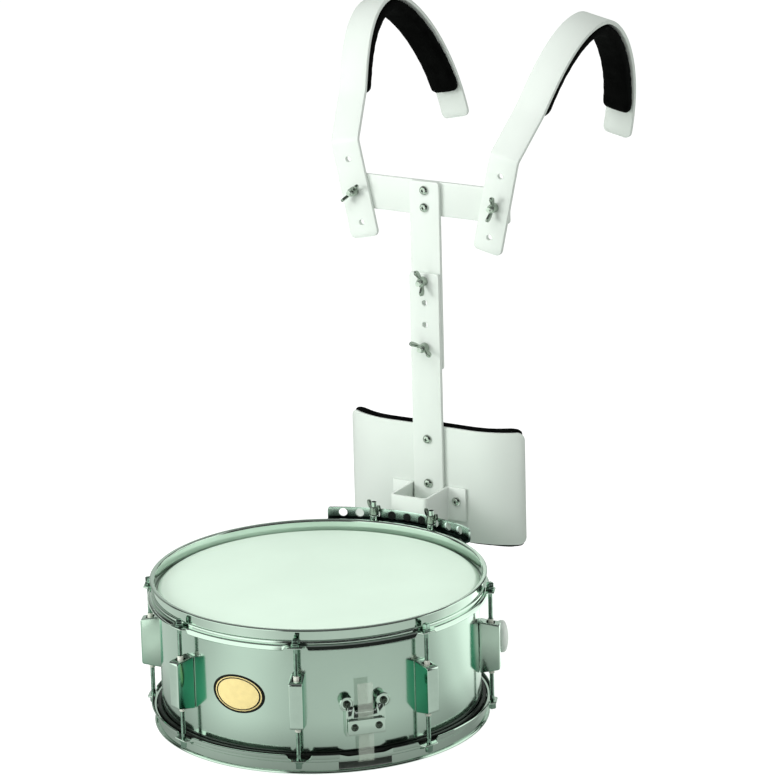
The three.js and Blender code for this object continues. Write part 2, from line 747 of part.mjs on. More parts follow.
// Throw-off: cheeked base, lever on a cross pin, carriage with the tape clamp, and its adjuster
function strainer() {
  const azimuth = snareAzimuth + 180;
  const back = lugBackRadius;
  const plateFront = back + strainerSheet;
  const cheekFront = plateFront + cheekReach;
  const pivotR = plateFront + cheekReach / 2;
  const pivotZ = strainerBottom + leverPivotRise;
  const base = block(back, plateFront, -strainerHalfWidth, strainerHalfWidth, strainerBottom,
    strainerTop);
  const cheeks = [-1, 1].map((side) => {
    const y = [side * strainerHalfWidth, side * (strainerHalfWidth - strainerSheet)].sort((a, b) => a - b);
    return block(plateFront - seatGap, cheekFront, ...y, strainerBottom, carriageTop);
  });
  const ears = [-1, 1].map((end) => barX(buttEarRadius, back, plateFront, 14, 0,
    end > 0 ? strainerTop : strainerBottom));
  const pinHole = barY(leverPinRadius + seatGap, -strainerHalfWidth - overrun,
    strainerHalfWidth + overrun, 12).translate(pivotR, 0, pivotZ);
  piece('strainer_base', shaped(base, [...cheeks, ...ears], [pinHole]), materials.chrome, azimuth);

  const armInner = strainerHalfWidth + seatGap;
  const armOuter = armInner + leverSheet;
  const handleR = cheekFront + leverHandleOffset;
  const arm = polygon([
    [pivotR - leverArmWidth / 2, pivotZ - leverArmWidth / 2],
    [pivotR + leverArmWidth / 2, pivotZ - leverArmWidth / 2],
    [pivotR + leverArmWidth, pivotZ + leverArmWidth],
    [handleR, leverTop - leverHandleHeight],
    [handleR, leverTop],
    [handleR - leverSheet, leverTop],
    [pivotR - leverArmWidth / 2, pivotZ + leverArmWidth],
  ]);
  const arms = [-1, 1].map((side) => sideWeb(arm, leverSheet)
    .translate(0, (side * (armInner + armOuter)) / 2, 0));
  const pin = barY(leverPinRadius, -armOuter + seatGap, armOuter - seatGap, 10)
    .translate(pivotR, 0, pivotZ);
  const handle = block(handleR - leverSheet, handleR, -armOuter, armOuter,
    leverTop - leverHandleHeight, leverTop);
  piece('strainer_lever', shaped(handle, [...arms, pin]), materials.chrome, azimuth);

  const carriageHalf = strainerHalfWidth - strainerSheet - seatGap;
  const carriageBack = plateFront + seatGap;
  const carriageFront = carriageBack + carriageDepth;
  const tapeBack = cheekFront + seatGap;
  const tapeFront = tapeBack + strapTapeSheet;
  const tapeHalf = strapTapeWidth / 2 + seatGap;
  const clampFace = tapeFront + seatGap;
  const body = block(carriageBack, carriageFront, -carriageHalf, carriageHalf, carriageBottom,
    carriageTop);
  const bars = [-1, 1].map((side) => {
    const y = [side * tapeHalf, side * carriageHalf].sort((a, b) => a - b);
    return block(carriageFront - seatGap, clampFace + seatGap, ...y, carriageBottom, carriageTop);
  });
  const clampPlate = block(clampFace, clampFace + clampSheet, -carriageHalf, carriageHalf,
    carriageBottom, carriageBottom + clampHeight);
  const screws = [-1, 1].map((side) => barX(screwHeadRadius, clampFace + clampSheet - seatGap,
    clampFace + clampSheet + screwHeadHeight, 10, (side * (tapeHalf + carriageHalf)) / 2,
    carriageBottom + clampHeight / 2));
  const screwHole = barZ(adjusterRadius + seatGap, carriageTop - carriageDepth,
    carriageTop + overrun, 10, carriageBack + carriageDepth / 2);
  const carriage = shaped(body, [...bars, clampPlate, ...screws], [screwHole]);
  piece('strainer_carriage', carriage, materials.chrome, azimuth);

  piece('strainer_tape', tapeGeometry(tapeBack, carriageTop, strainerBottom), materials.snareTape,
    azimuth);

  const knobBottom = carriageTop + adjusterKnobStandoff;
  const flutes = Array.from({ length: adjusterKnobFlutes * 2 }, (_, i) => {
    const radius = i % 2 ? adjusterKnobRadius : adjusterKnobRadius - seatGap * 2;
    const turn = (i * Math.PI) / adjusterKnobFlutes;
    return [radius * Math.cos(turn), radius * Math.sin(turn)];
  });
  const knob = extrude(polygon(flutes), adjusterKnobHeight).translate(0, 0, knobBottom);
  const screw = barZ(adjusterRadius, carriageTop - carriageDepth + seatGap, knobBottom + seatGap, 8);
  const knobMesh = piece('strainer_knob', shaped(knob, [screw]), materials.chrome, azimuth);
  const turn = THREE.MathUtils.degToRad(azimuth);
  const knobR = carriageBack + carriageDepth / 2;
  knobMesh.position.set(knobR * Math.sin(turn), -knobR * Math.cos(turn), 0);
}

// Snare wires: strands side by side under the snare-side head, soldered to a plate at each end
function snareWires() {
  const halfBand = (wireCount * wirePitch) / 2;
  const plates = [-1, 1].map((end) => {
    const x = [end * (wireHalfLength - endPlateLength), end * wireHalfLength].sort((a, b) => a - b);
    return block(...x, -halfBand, halfBand, wireZ - endPlateSheet / 2, wireZ + endPlateSheet / 2);
  });
  const reach = wireHalfLength - endPlateLength + overrun;
  const wires = Array.from({ length: wireCount }, (_, i) => {
    const y = (i - (wireCount - 1) / 2) * wirePitch;
    return barX(wireRadius, -reach, reach, 3, y, wireZ);
  });
  piece('snare_wires', shaped(plates[0], [plates[1], ...wires]), materials.polishedSteel,
    snareAzimuth);
}

// Tone control: body clamped through the shell, outside knob, and the felt arm under the head
function toneControl() {
  const collar = barX(toneCollarRadius, lugBackRadius, lugBackRadius + toneCollarSheet, 18, 0, toneZ);
  const innerFace = flatInside(shellRadius - shellWall, toneBlockWidth / 2);
  const blockBack = innerFace - toneBlockDepth;
  const housing = block(blockBack, innerFace, -toneBlockWidth / 2, toneBlockWidth / 2,
    toneZ - toneBlockHeight / 2, toneZ + toneBlockHeight / 2);
  const tube = barX(toneTubeRadius, innerFace - seatGap, lugBackRadius + seatGap, 16, 0, toneZ);
  const bore = barX(toneShaftRadius + seatGap, blockBack - overrun,
    lugBackRadius + toneCollarSheet + overrun, 12, 0, toneZ);
  const pivotZ = toneZ + tonePivotRise;
  const pivotR = blockBack - tonePivotDepth;
  const lugWeb = block(pivotR - tonePinRadius * 2, blockBack + seatGap, -toneArmSheet, toneArmSheet,
    pivotZ - tonePinRadius * 2, pivotZ + tonePinRadius * 2);
  const pin = barY(tonePinRadius, -toneArmWidth / 2, toneArmWidth / 2, 10).translate(pivotR, 0, pivotZ);
  const body = shaped(collar, [tube, housing, lugWeb, pin], [bore]);
  piece('tone_body', body, materials.chrome, toneAzimuth);

  const knobBack = shellRadius + toneKnobStandoff;
  const knobFace = knobBack + toneKnobThickness;
  const knob = revolve([
    [0, knobBack],
    [toneKnobRadius - toneKnobCrown, knobBack],
    [toneKnobRadius, knobBack + toneKnobCrown],
    [toneKnobRadius, knobFace - toneKnobCrown * 2],
    [toneKnobRadius - toneKnobCrown, knobFace - toneKnobCrown],
    [toneKnobRadius / 2, knobFace - toneKnobCrown / 4],
    [0, knobFace],
  ], 20).rotateY(Math.PI / 2);
  const shaft = barX(toneShaftRadius, blockBack + seatGap, knobBack + toneKnobCrown, 10);
  const neck = barX(toneTubeRadius, lugBackRadius + toneCollarSheet + seatGap,
    knobBack + toneKnobCrown, 14);
  piece('tone_knob', shaped(knob, [shaft, neck]), materials.chrome, toneAzimuth).position.z = toneZ;

  const armBack = pivotR;
  const feltTop = toneArmTop + toneArmSheet + toneFeltHeight;
  const strip = [
    new THREE.Vector2(armBack, pivotZ),
    new THREE.Vector2(armBack, toneArmTop - toneArmReach / 4),
    new THREE.Vector2(armBack - toneArmReach / 4, toneArmTop),
    new THREE.Vector2(armBack - toneArmReach, toneArmTop),
  ];
  const arm = sideWeb(stripOutline(strip, -toneArmSheet), toneArmWidth);
  const cheek = [-1, 1].map((side) => {
    const y = [side * (toneArmSheet + seatGap), (side * toneArmWidth) / 2].sort((a, b) => a - b);
    const reach = tonePinRadius + toneArmSheet;
    return block(armBack - reach, armBack + reach, ...y, pivotZ - reach, pivotZ + reach);
  });
  const eye = barY(tonePinRadius + seatGap, -toneArmWidth, toneArmWidth, 10)
    .translate(pivotR, 0, pivotZ);
  const relief = block(armBack - toneArmReach, armBack + toneArmReach, -toneArmSheet - seatGap,
    toneArmSheet + seatGap, pivotZ - toneArmSheet * 3, pivotZ + toneArmSheet * 3);
  const felt = barZ(toneFeltRadius, toneArmTop, feltTop, 18, armBack - toneArmReach);
  piece('tone_arm', shaped(arm, [...cheek, felt], [relief, eye]), materials.felt, toneAzimuth);
}

// A wing nut drawn along +z from its seat
function wingNutGeometry() {
  const hub = revolve([
    [0, 0],
    [nutSeatRadius, 0],
    [nutSeatRadius, nutBossHeight / 3],
    [nutNeckRadius, nutBossHeight],
    [0, nutBossHeight],
  ], 10);
  const tipX = nutHalfSpan - nutTipRadius;
  const tipZ = nutWingRise - nutTipRadius;
  const wings = [-1, 1].map((side) => {
    const wing = new THREE.Shape();
    wing.moveTo(0, nutWingFoot);
    wing.lineTo(side * nutNeckRadius, nutWingFoot);
    wing.quadraticCurveTo(side * tipX, nutWingFoot, side * nutHalfSpan, tipZ);
    wing.quadraticCurveTo(side * nutHalfSpan, nutWingRise, side * tipX, nutWingRise);
    wing.quadraticCurveTo(side * (tipX - nutTipRadius), nutWingRise, side * nutNeckRadius,
      nutBossHeight - nutWingSheet / 2);
    wing.lineTo(0, nutBossHeight - nutWingSheet / 2);
    wing.closePath();
    return sideWeb(wing, nutWingSheet, 3);
  });
  const bore = barZ(nutBore, -overrun, nutBossHeight + overrun, 8);
  return shaped(hub, wings, [bore]);
}

// Carrier rail: upright web with a row of holes, and a leg turned in towards the hoop
function rail() {
  const web = extrude(ringSector(railInnerRadius, railOuterRadius, railHalfAngle), railHeight, 10)
    .translate(0, 0, railBottom);
  const leg = extrude(ringSector(railInnerRadius - railLegReach, railOuterRadius - seatGap,
    railHalfAngle), railSheet, 10).translate(0, 0, railBottom);
  const cuts = [];
  const bosses = [];
  const middle = (railHoleCount - 1) / 2;
  for (let i = 0; i < railHoleCount; i += 1) {
    const hole = barX(railHoleRadius, railInnerRadius - overrun, railOuterRadius + overrun, 14, 0,
      railBottom + railHoleRise);
    cuts.push(outwards(hole, 180 - (i - middle) * railHolePitch));
  }
  for (const side of [-1, 1]) {
    const corner = new THREE.Shape();
    corner.moveTo(overrun, overrun);
    corner.lineTo(-railCorner, overrun);
    corner.lineTo(-railCorner, 0);
    corner.quadraticCurveTo(0, 0, 0, -railCorner);
    corner.lineTo(overrun, -railCorner);
    corner.closePath();
    const depth = railSheet + overrun * 2;
    const tool = extrude(corner, depth, 4).rotateX(Math.PI / 2);
    if (side < 0) tool.scale(-1, 1, 1);
    tool.translate(0, railOuterRadius + overrun, railBottom + railHeight);
    cuts.push(tool.rotateZ(THREE.MathUtils.degToRad(-side * railHalfAngle)));
    const hookAzimuth = 180 - side * hookHoleSteps * railHolePitch;
    const bossTop = railBottom + railSheet + hookBossHeight;
    const boss = barZ(hookBossRadius, railBottom + seatGap, bossTop, 14, hookCircle);
    bosses.push(outwards(boss, hookAzimuth));
    const hookHole = barZ(hookRadius + seatGap * 2, railBottom - overrun, bossTop + overrun, 12,
      hookCircle);
    cuts.push(outwards(hookHole, hookAzimuth));
  }
  piece('rail', shaped(web, [leg, ...bosses], cuts), materials.chrome);
}

// Hook rods: from a wing nut on the rail's leg down to a hook under the snare-side hoop's flange
function hooks(wingNut) {
  const flangeUnder = shellBottom + hoopFlangeDrop;
  const legZ = flangeUnder - seatGap - hookRadius;
  const top = nutSeat + hookStandout;
  for (const [side, label] of [[-1, 'left'], [1, 'right']]) {
    const path = new THREE.Path();
    path.moveTo(0, top);
    path.lineTo(0, legZ + hookBend);
    path.quadraticCurveTo(0, legZ, -hookBend, legZ);
    path.lineTo(-hookLegReach, legZ);
    const chain = path.getPoints(4);
    const rings = chain.map((point, i) => {
      const before = chain[Math.max(i - 1, 0)];
      const after = chain[Math.min(i + 1, chain.length - 1)];
      const along = after.clone().sub(before).normalize();
      return Array.from({ length: rodSides }, (_, j) => {
        const turn = (j * Math.PI * 2) / rodSides;
        const across = hookRadius * Math.cos(turn);
        return new THREE.Vector3(point.x - along.y * across, hookRadius * Math.sin(turn),
          point.y + along.x * across);
      });
    });
    const azimuth = 180 - side * hookHoleSteps * railHolePitch;
    const turn = THREE.MathUtils.degToRad(azimuth);
    const [x, y] = [hookCircle * Math.sin(turn), -hookCircle * Math.cos(turn)];
    piece(`hook_rod_${label}`, loft(rings), materials.chrome, azimuth).position.set(x, y, 0);
    const nut = piece(`hook_nut_${label}`, wingNut, materials.chrome);
    nut.position.set(x, y, nutSeat);
    nut.rotation.z = THREE.MathUtils.degToRad(nutTurn.hook);
  }
}

// The belly plate's front in plan: flat in the middle, with both wings curving back to the wearer
function platePlan(frontY, divisions) {
  const reach = Math.asin((plateHalfWidth - plateHalfFlat) / plateWingRadius);
  const wing = Array.from({ length: divisions + 1 }, (_, i) => {
    const turn = (i * reach) / divisions;
    return [plateHalfFlat + plateWingRadius * Math.sin(turn), plateWingRadius * (1 - Math.cos(turn))];
  });
  const right = wing.map(([x, y]) => new THREE.Vector2(x, frontY + y));
  const left = wing.map(([x, y]) => new THREE.Vector2(-x, frontY + y)).reverse();
  return [...left, ...right];
}

function bellyPlate() {
  const sheet = extrude(stripOutline(platePlan(plateFrontY, 5), plateSheet), plateHeight)
    .translate(0, 0, plateBottom);
  const deep = plateWingRadius;
  const cuts = [];
  for (const side of [-1, 1]) {
    for (const end of [-1, 1]) {
      const corner = new THREE.Shape();
      corner.moveTo(overrun, overrun);
      corner.lineTo(-plateCorner, overrun);
      corner.lineTo(-plateCorner, 0);
      corner.quadraticCurveTo(0, 0, 0, -plateCorner);
      corner.lineTo(overrun, -plateCorner);
      corner.closePath();
      const tool = uprightPlate(corner, deep, plateFrontY - overrun);
      tool.scale(side, 1, end);
      tool.translate(side * plateHalfWidth, 0, end > 0 ? plateBottom + plateHeight : plateBottom);
      cuts.push(tool);
    }
  }
  piece('belly_plate', shaped(sheet, [], cuts), materials.whitePaint);
}

// The pad's section at one station of the plate's plan: flat on the plate, crowned to the wearer
function bellyPad() {
  const plan = platePlan(plateFrontY, 5);
  const near = plateSheet + seatGap;
  const low = plateBottom - bellyPadOverhang;
  const high = plateBottom + plateHeight + bellyPadOverhang;
  const rings = plan.map((point, i) => {
    const before = plan[Math.max(i - 1, 0)];
    const after = plan[Math.min(i + 1, plan.length - 1)];
    const along = after.clone().sub(before).normalize();
    const atEnd = i === 0 || i === plan.length - 1;
    const depth = bellyPadThickness * (atEnd ? bellyPadCrownShare : 1);
    const trim = atEnd ? bellyPadOverhang * 2 : 0;
    const section = [
      [near, low + trim],
      [near + depth * bellyPadCrownShare, low + trim],
      [near + depth, low + trim + bellyPadThickness],
      [near + depth, high - trim - bellyPadThickness],
      [near + depth * bellyPadCrownShare, high - trim],
      [near, high - trim],
    ];
    return section.map(([out, z]) => new THREE.Vector3(point.x - along.y * out,
      point.y + along.x * out, z));
  });
  piece('belly_pad', loft(rings), materials.foam);
}

// Bracket: a hat section with its flanges on the belly plate and its crown against the rail
function bracket() {
  const frontY = bracketFrontY;
  const flangeBack = uprightBackY;
  const inner = bracketHalfWidth - bracketSheet;
  const eased = bracketCorner * bracketCornerShare;
  const half = [
    [bracketFlangeReach, flangeBack],
    [bracketFlangeReach, flangeBack - bracketSheet],
    [bracketHalfWidth, flangeBack - bracketSheet],
    [bracketHalfWidth, frontY + bracketCorner],
    [bracketHalfWidth - eased, frontY + eased],
    [bracketHalfWidth - bracketCorner, frontY],
  ];
  const innerHalf = [
    [inner, flangeBack],
    [inner, frontY + bracketSheet],
  ];
  const mirror = (points) => points.map(([x, y]) => [-x, y]).reverse();
  const outline = polygon([...innerHalf.slice().reverse(), ...half, ...mirror(half),
    ...mirror(innerHalf.slice().reverse())]);
  const channel = extrude(outline, bracketTop - bracketBottom).translate(0, 0, bracketBottom);
  const joined = [-1, 1].map((side) => domeHead(side * bracketBoltX, bracketBoltZ,
    flangeBack - bracketSheet));
  for (const step of [-1, 0, 1]) {
    const pin = barX(bracketPinRadius, railInnerRadius - bracketPinStandout,
      frontY + bracketSheet, 12, 0, railBottom + railHoleRise);
    joined.push(outwards(pin, 180 - step * railHolePitch));
  }
  piece('bracket', shaped(channel, joined), materials.whitePaint);
}

// A carriage bolt through a flat bar: shank to the front, head behind what it clamps
function carriageBolt(x, z, frontEnd, headY) {
  return [
    barY(boltRadius, frontEnd, headY + seatGap, 10, x, z),
    barY(boltHeadRadius, headY, headY + boltHeadHeight, 12, x, z),
  ];
}

function uprights() {
  const lower = roundedRectangle(-barWidth / 2, lowerBarBottom, barWidth / 2, lowerBarTop, barCorner);
  roundHole(lower, 0, boltTopZ - boltPitch, boltHoleRadius);
  roundHole(lower, 0, boltTopZ - boltPitch * 2, boltHoleRadius);
  const headY = strapLayerY + barSheet + seatGap;
  const joined = [
    ...carriageBolt(0, boltTopZ, uprightFrontY - boltStandout, headY),
    ...carriageBolt(0, boltTopZ - boltPitch * 3, uprightFrontY - boltStandout, headY),
    domeHead(0, lowerDomeLow, uprightFrontY),
    domeHead(0, lowerDomeLow + lowerDomePitch, uprightFrontY),
  ];
  const lowerPlate = uprightPlate(lower, barSheet, uprightFrontY);
  piece('lower_upright', shaped(lowerPlate, joined), materials.whitePaint);

  const upper = roundedRectangle(-barWidth / 2, upperBarBottom, barWidth / 2, upperBarTop, barCorner);
  const slot = new THREE.Shape();
  slot.absarc(0, boltTopZ, slotRadius, 0, Math.PI, false);
  slot.lineTo(-slotRadius, upperBarBottom - overrun);
  slot.lineTo(slotRadius, upperBarBottom - overrun);
  slot.closePath();
  const slotTool = uprightPlate(slot, barSheet + overrun * 2, strapLayerY - overrun);
  const domes = [-1, 1].map((end) => domeHead(0, crossbarZ + (end * crossbarDomePitch) / 2,
    strapLayerY));
  piece('upper_upright', shaped(uprightPlate(upper, barSheet, strapLayerY), domes, [slotTool]),
    materials.whitePaint);
}

function crossbar() {
  const shape = roundedRectangle(-crossbarHalfLength, crossbarZ - crossbarHeight / 2,
    crossbarHalfLength, crossbarZ + crossbarHeight / 2, barCorner);
  const studs = [-1, 1].flatMap((side) => carriageBolt(side * strapPivotX, crossbarZ,
    strapLayerY - boltStandout, crossbarFrontY + barSheet - seatGap));
  piece('crossbar', shaped(uprightPlate(shape, barSheet, crossbarFrontY), studs),
    materials.whitePaint);
}

// The strap's front face in its own plane: x runs back to the wearer, y runs up from the pivot
function strapPath() {
  const path = new THREE.Path();
  path.moveTo(0, -strapBelowPivot);
  path.lineTo(0, strapBendRise);
  path.lineTo(strapLegSetback, strapBendRise + strapLegRise);
  path.bezierCurveTo(strapLegSetback * (1 + legHandleShare),
    strapBendRise + strapLegRise * (1 + legHandleShare),
    archTopSetback - archFrontHandle, archTopRise, archTopSetback, archTopRise);
  path.bezierCurveTo(archTopSetback + archBackHandle, archTopRise,
    strapBackSetback - backHandleSetback, strapBackRise + backHandleRise,
    strapBackSetback, strapBackRise);
  return path.getPoints(9);
}

// Turns a geometry drawn as (back, up, across) into the strap's own frame
function toStrapFrame(geometry) {
  const basis = new THREE.Matrix4().makeBasis(new THREE.Vector3(0, 1, 0),
    new THREE.Vector3(0, 0, 1), new THREE.Vector3(1, 0, 0));
  return geometry.applyMatrix4(basis);
}

// Leans the arch outward as it runs back; what lies at the crossbar stays where it is
function splayed(geometry, outward) {
  return geometry.applyMatrix4(new THREE.Matrix4().makeShear(0, 0, outward * archSplayShare, 0, 0, 0));
}

function strapGeometry(outward) {
  const outline = stripOutline(strapPath(), -barSheet);
  const strip = toStrapFrame(extrude(outline, strapWidth)).translate(-strapWidth / 2, 0, 0);
  const cuts = [-1, 0, 1].map((step) => barY(boltHoleRadius, -overrun, barSheet + overrun, 12, 0,
    step * strapHolePitch));
  for (const side of [-1, 1]) {
    const corner = new THREE.Shape();
    corner.moveTo(overrun, -overrun);
    corner.lineTo(overrun, strapCorner);
    corner.lineTo(0, strapCorner);
    corner.quadraticCurveTo(0, 0, -strapCorner, 0);
    corner.lineTo(-strapCorner, -overrun);
    corner.closePath();
    const tool = extrude(corner, barSheet * 4, 4).rotateX(Math.PI / 2).scale(side, 1, 1);
    const front = tool.clone().translate((side * strapWidth) / 2, barSheet * 2, -strapBelowPivot);
    const rear = tool.clone().translate((side * strapWidth) / 2, strapBackSetback + barSheet * 2,
      strapBackRise);
    cuts.push(splayed(front, outward), splayed(rear, outward));
  }
  return shaped(splayed(strip, outward), [], cuts);
}

// The pad under the arch: a crowned strip that thins out at both ends
function shoulderPadGeometry(outward) {
  const run = strapPath().slice(1);
  const walks = [0];
  for (const [i, point] of run.slice(1).entries()) {
    walks.push(walks[i] + point.distanceTo(run[i]));
  }
  const start = walks.at(-1) * padStartShare;
  const end = walks.at(-1) * padEndShare;
  const inner = walks.filter((walk) => walk > start + padEndRun * 2 && walk < end - padEndRun * 2);
  const marks = [start, start + padEndRun, ...inner, end - padEndRun, end];
  const half = strapWidth / 2 - shoulderPadSideInset;
  const rings = marks.map((mark, order) => {
    const next = walks.findIndex((walk) => walk >= mark);
    const last = walks[next] === mark ? next + 1 : next;
    const along = run[last].clone().sub(run[next - 1]).normalize();
    const middle = run[next - 1].clone().lerp(run[next],
      (mark - walks[next - 1]) / (walks[next] - walks[next - 1]));
    const taper = order === 0 || order === marks.length - 1 ? padEndTaperShare : 1;
    const near = barSheet + seatGap;
    const deep = near + shoulderPadThickness * taper;
    const mid = near + shoulderPadThickness * taper * padCrownShare;
    const section = [
      [-half, near],
      [-half, mid],
      [-half * padCrownShare, deep],
      [half * padCrownShare, deep],
      [half, mid],
      [half, near],
    ];
    return section.map(([x, down]) => new THREE.Vector3(x, middle.x + along.y * down,
      middle.y - along.x * down));
  });
  return splayed(loft(rings), outward);
}

function shoulderHarness(wingNut) {
  for (const [side, label] of [[-1, 'left'], [1, 'right']]) {
    const tilt = THREE.MathUtils.degToRad(side * strapTilt[label]);
    for (const [kind, geometry, material] of [['strap', strapGeometry(side), materials.whitePaint],
      ['pad', shoulderPadGeometry(side), materials.foam]]) {
      const mesh = piece(`shoulder_${kind}_${label}`, geometry, material);
      mesh.position.set(side * strapPivotX, strapLayerY, crossbarZ);
      mesh.rotation.y = tilt;
    }
    const nut = piece(`strap_nut_${label}`, wingNut, materials.chrome);
    nut.position.set(side * strapPivotX, strapLayerY - seatGap, crossbarZ);
    nut.rotation.set(Math.PI / 2, 0, THREE.MathUtils.degToRad(nutTurn[label]));
  }
  for (const [label, z] of [['high', boltTopZ], ['low', boltTopZ - boltPitch * 3]]) {
    const nut = piece(`height_nut_${label}`, wingNut, materials.chrome);
    nut.position.set(0, uprightFrontY - seatGap, z);
    nut.rotation.set(Math.PI / 2, 0, THREE.MathUtils.degToRad(nutTurn[label]));
  }
}

shell();
head('batter_head', shellTop, 1);
head('snare_side_head', shellBottom, -1);
hoop('batter_hoop', shellTop, 1, []);
hoop('snare_side_hoop', shellBottom, -1, [snareAzimuth, snareAzimuth + 180]);
lugsAndRods();
buttPlate();
strainer();
snareWires();
toneControl();

const wingNut = wingNutGeometry();
rail();
hooks(wingNut);
bracket();
bellyPlate();
bellyPad();
uprights();
crossbar();
shoulderHarness(wingNut);

// The origin is the middle of the whole object's plan, on the surface it stands on.
const extent = new THREE.Box3().setFromObject(product);
const centre = extent.getCenter(new THREE.Vector3());
product.position.set(-centre.x, -centre.y, -extent.min.z);

export default product;
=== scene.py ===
import bpy
import bmesh
from math import asin, cos, dist, hypot, pi, radians, sin, sqrt, tan
from mathutils import Matrix, Vector


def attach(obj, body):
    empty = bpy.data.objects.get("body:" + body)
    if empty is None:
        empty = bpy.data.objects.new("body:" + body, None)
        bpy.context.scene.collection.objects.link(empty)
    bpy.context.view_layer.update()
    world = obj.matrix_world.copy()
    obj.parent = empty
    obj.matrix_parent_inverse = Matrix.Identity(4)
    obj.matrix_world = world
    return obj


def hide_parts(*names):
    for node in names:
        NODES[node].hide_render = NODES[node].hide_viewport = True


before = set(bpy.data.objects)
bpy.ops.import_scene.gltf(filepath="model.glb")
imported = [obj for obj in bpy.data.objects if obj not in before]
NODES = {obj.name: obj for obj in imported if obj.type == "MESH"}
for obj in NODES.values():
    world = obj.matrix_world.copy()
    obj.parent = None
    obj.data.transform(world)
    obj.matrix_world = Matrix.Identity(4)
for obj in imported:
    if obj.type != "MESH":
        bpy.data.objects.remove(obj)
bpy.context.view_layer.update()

SCENE = bpy.context.scene
MM = 0.001
AXIS_Y = -172.75

# Sizes and places, as in the CAD part; azimuths are degrees from the drum's front towards +X
SHELL_R, SHELL_LOW, SHELL_HIGH = 177.8, 12.7, 152.4
MIDDLE = (SHELL_LOW + SHELL_HIGH) / 2
ROD_CIRCLE, LUG_BACK, LUG_DEPTH = 190.25, 178.1, 22.5
BATTER_SEAT, SNARE_SIDE_SEAT = 148.5, 16.6
LUG_AZ = [22.5 + 45 * i for i in range(8)]
BADGE_AZ, BADGE_Z, BADGE_HALF_W, BADGE_HALF_H = 0.0, 83.0, 32.6, 21.8
RAIL_HIGH, HOLE_Z, HOLE_STEP, HOLE_COUNT = 174.2, 167.2, 5.5, 9
HOOK_CIRCLE, HOOK_STEP, NUT_SEAT = 195.5, 11, 168.8
UP_FRONT, STRAP_Y, CROSS_Y, CROSS_Z = 254.0, 259.3, 264.6, 528.7
BAR_HALF, BAR_SHEET, STRAP_HOLE_PITCH, BAR_HOLE = 19, 5, 37, 3.4
BOLT_TOP, BOLT_PITCH, STUD_DROP = 434.0, 26.0, 78
PLATE_FLAT, PLATE_CURVE, PLATE_REACH, PLATE_LOW, PLATE_HIGH = 52, 104, 61, 127.0, 261.0
SNARE_AZ, TONE_AZ, TONE_Z = 45.0, 121.0, 83.0
PIVOT_X, TILT, STRAP_HALF, SPLAY = 90.0, 12.2, 18.0, 0.04
NUT_TURN = {"left": 45, "right": 78, "high": 105, "low": -26, "hook": -34}
FLOOR_Z = -0.0006


# ---- mesh tools
def linked(name, data):
    obj = bpy.data.objects.new(name, data)
    SCENE.collection.objects.link(obj)
    return obj


def modifier(obj, kind, **settings):
    mod = obj.modifiers.new(kind.lower(), kind)
    for key, value in settings.items():
        setattr(mod, key, value)


def tidy(obj, sharp=32.0):
    bm = bmesh.new()
    bm.from_mesh(obj.data)
    bmesh.ops.remove_doubles(bm, verts=bm.verts, dist=2e-6)
    bmesh.ops.recalc_face_normals(bm, faces=bm.faces)
    limit = radians(sharp)
    for face in bm.faces:
        face.smooth = True
    for edge in bm.edges:
        edge.smooth = len(edge.link_faces) == 2 and edge.calc_face_angle(0) < limit
    bm.to_mesh(obj.data)
    bm.free()


def meshed(name, verts, faces, material):
    mesh = bpy.data.meshes.new(name)
    mesh.from_pydata(verts, [], faces)
    if material:
        mesh.materials.append(material)
    return linked(name, mesh)


def make(name, data, material=None, sharp=32.0):
    """An object from (vertices, faces) in millimetres, with the drum's axis moved to its place."""
    verts = [(p.x * MM, (p.y + AXIS_Y) * MM, p.z * MM) for p in map(Vector, data[0])]
    obj = meshed(name, verts, data[1], material)
    tidy(obj, sharp)
    return obj


def apply_all(obj, sharp=32.0):
    bpy.context.view_layer.update()
    graph = bpy.context.evaluated_depsgraph_get()
    mesh = bpy.data.meshes.new_from_object(obj.evaluated_get(graph))
    obj.modifiers.clear()
    obj.data = mesh
    tidy(obj, sharp)
    return obj


def joined(parts):
    """Several (vertices, faces) as one."""
    verts, faces = [], []
    for v, f in parts:
        faces += [tuple(i + len(verts) for i in face) for face in f]
        verts += [tuple(p) for p in v]
    return verts, faces


def boolean(obj, parts, operation="DIFFERENCE", sharp=32.0):
    """Cuts or joins (vertices, faces) parts that don't touch each other."""
    tool = make("tool", joined(parts))
    modifier(obj, "BOOLEAN", operation=operation, object=tool, solver="EXACT")
    apply_all(obj, sharp)
    bpy.data.objects.remove(tool)
    return obj


def bevel(obj, width, segments=3, angle=32.0, sharp=32.0):
    modifier(obj, "BEVEL", width=width * MM, segments=segments, limit_method="ANGLE",
             angle_limit=radians(angle), use_clamp_overlap=True)
    return apply_all(obj, sharp)


def loft(rings, loop=False, caps=True):
    """Rings of equal count joined in a chain, or in a loop."""
    count = len(rings[0])
    verts = [tuple(p) for ring in rings for p in ring]
    faces = []
    spans = len(rings) if loop else len(rings) - 1
    for i in range(spans):
        a, b = i * count, ((i + 1) % len(rings)) * count
        for j in range(count):
            k = (j + 1) % count
            faces.append((a + j, a + k, b + k, b + j))
    if caps and not loop:
        faces.append(tuple(range(count - 1, -1, -1)))
        faces.append(tuple(range((len(rings) - 1) * count, len(rings) * count)))
    return verts, faces


def turned(points, azimuth):
    """Radial points (r, across, z) put at an azimuth from the drum's front towards +X."""
    t = radians(azimuth - 90)
    c, s = cos(t), sin(t)
    return [(x * c - y * s, x * s + y * c, z) for x, y, z in points]


def put(data, azimuth):
    return turned(data[0], azimuth), data[1]


def moved(data, matrix):
    return [tuple(matrix @ Vector(v)) for v in data[0]], data[1]


def pushed(data, by):
    """Data moved along +X, the direction that put() takes outwards."""
    return [(x + by, y, z) for x, y, z in data[0]], data[1]


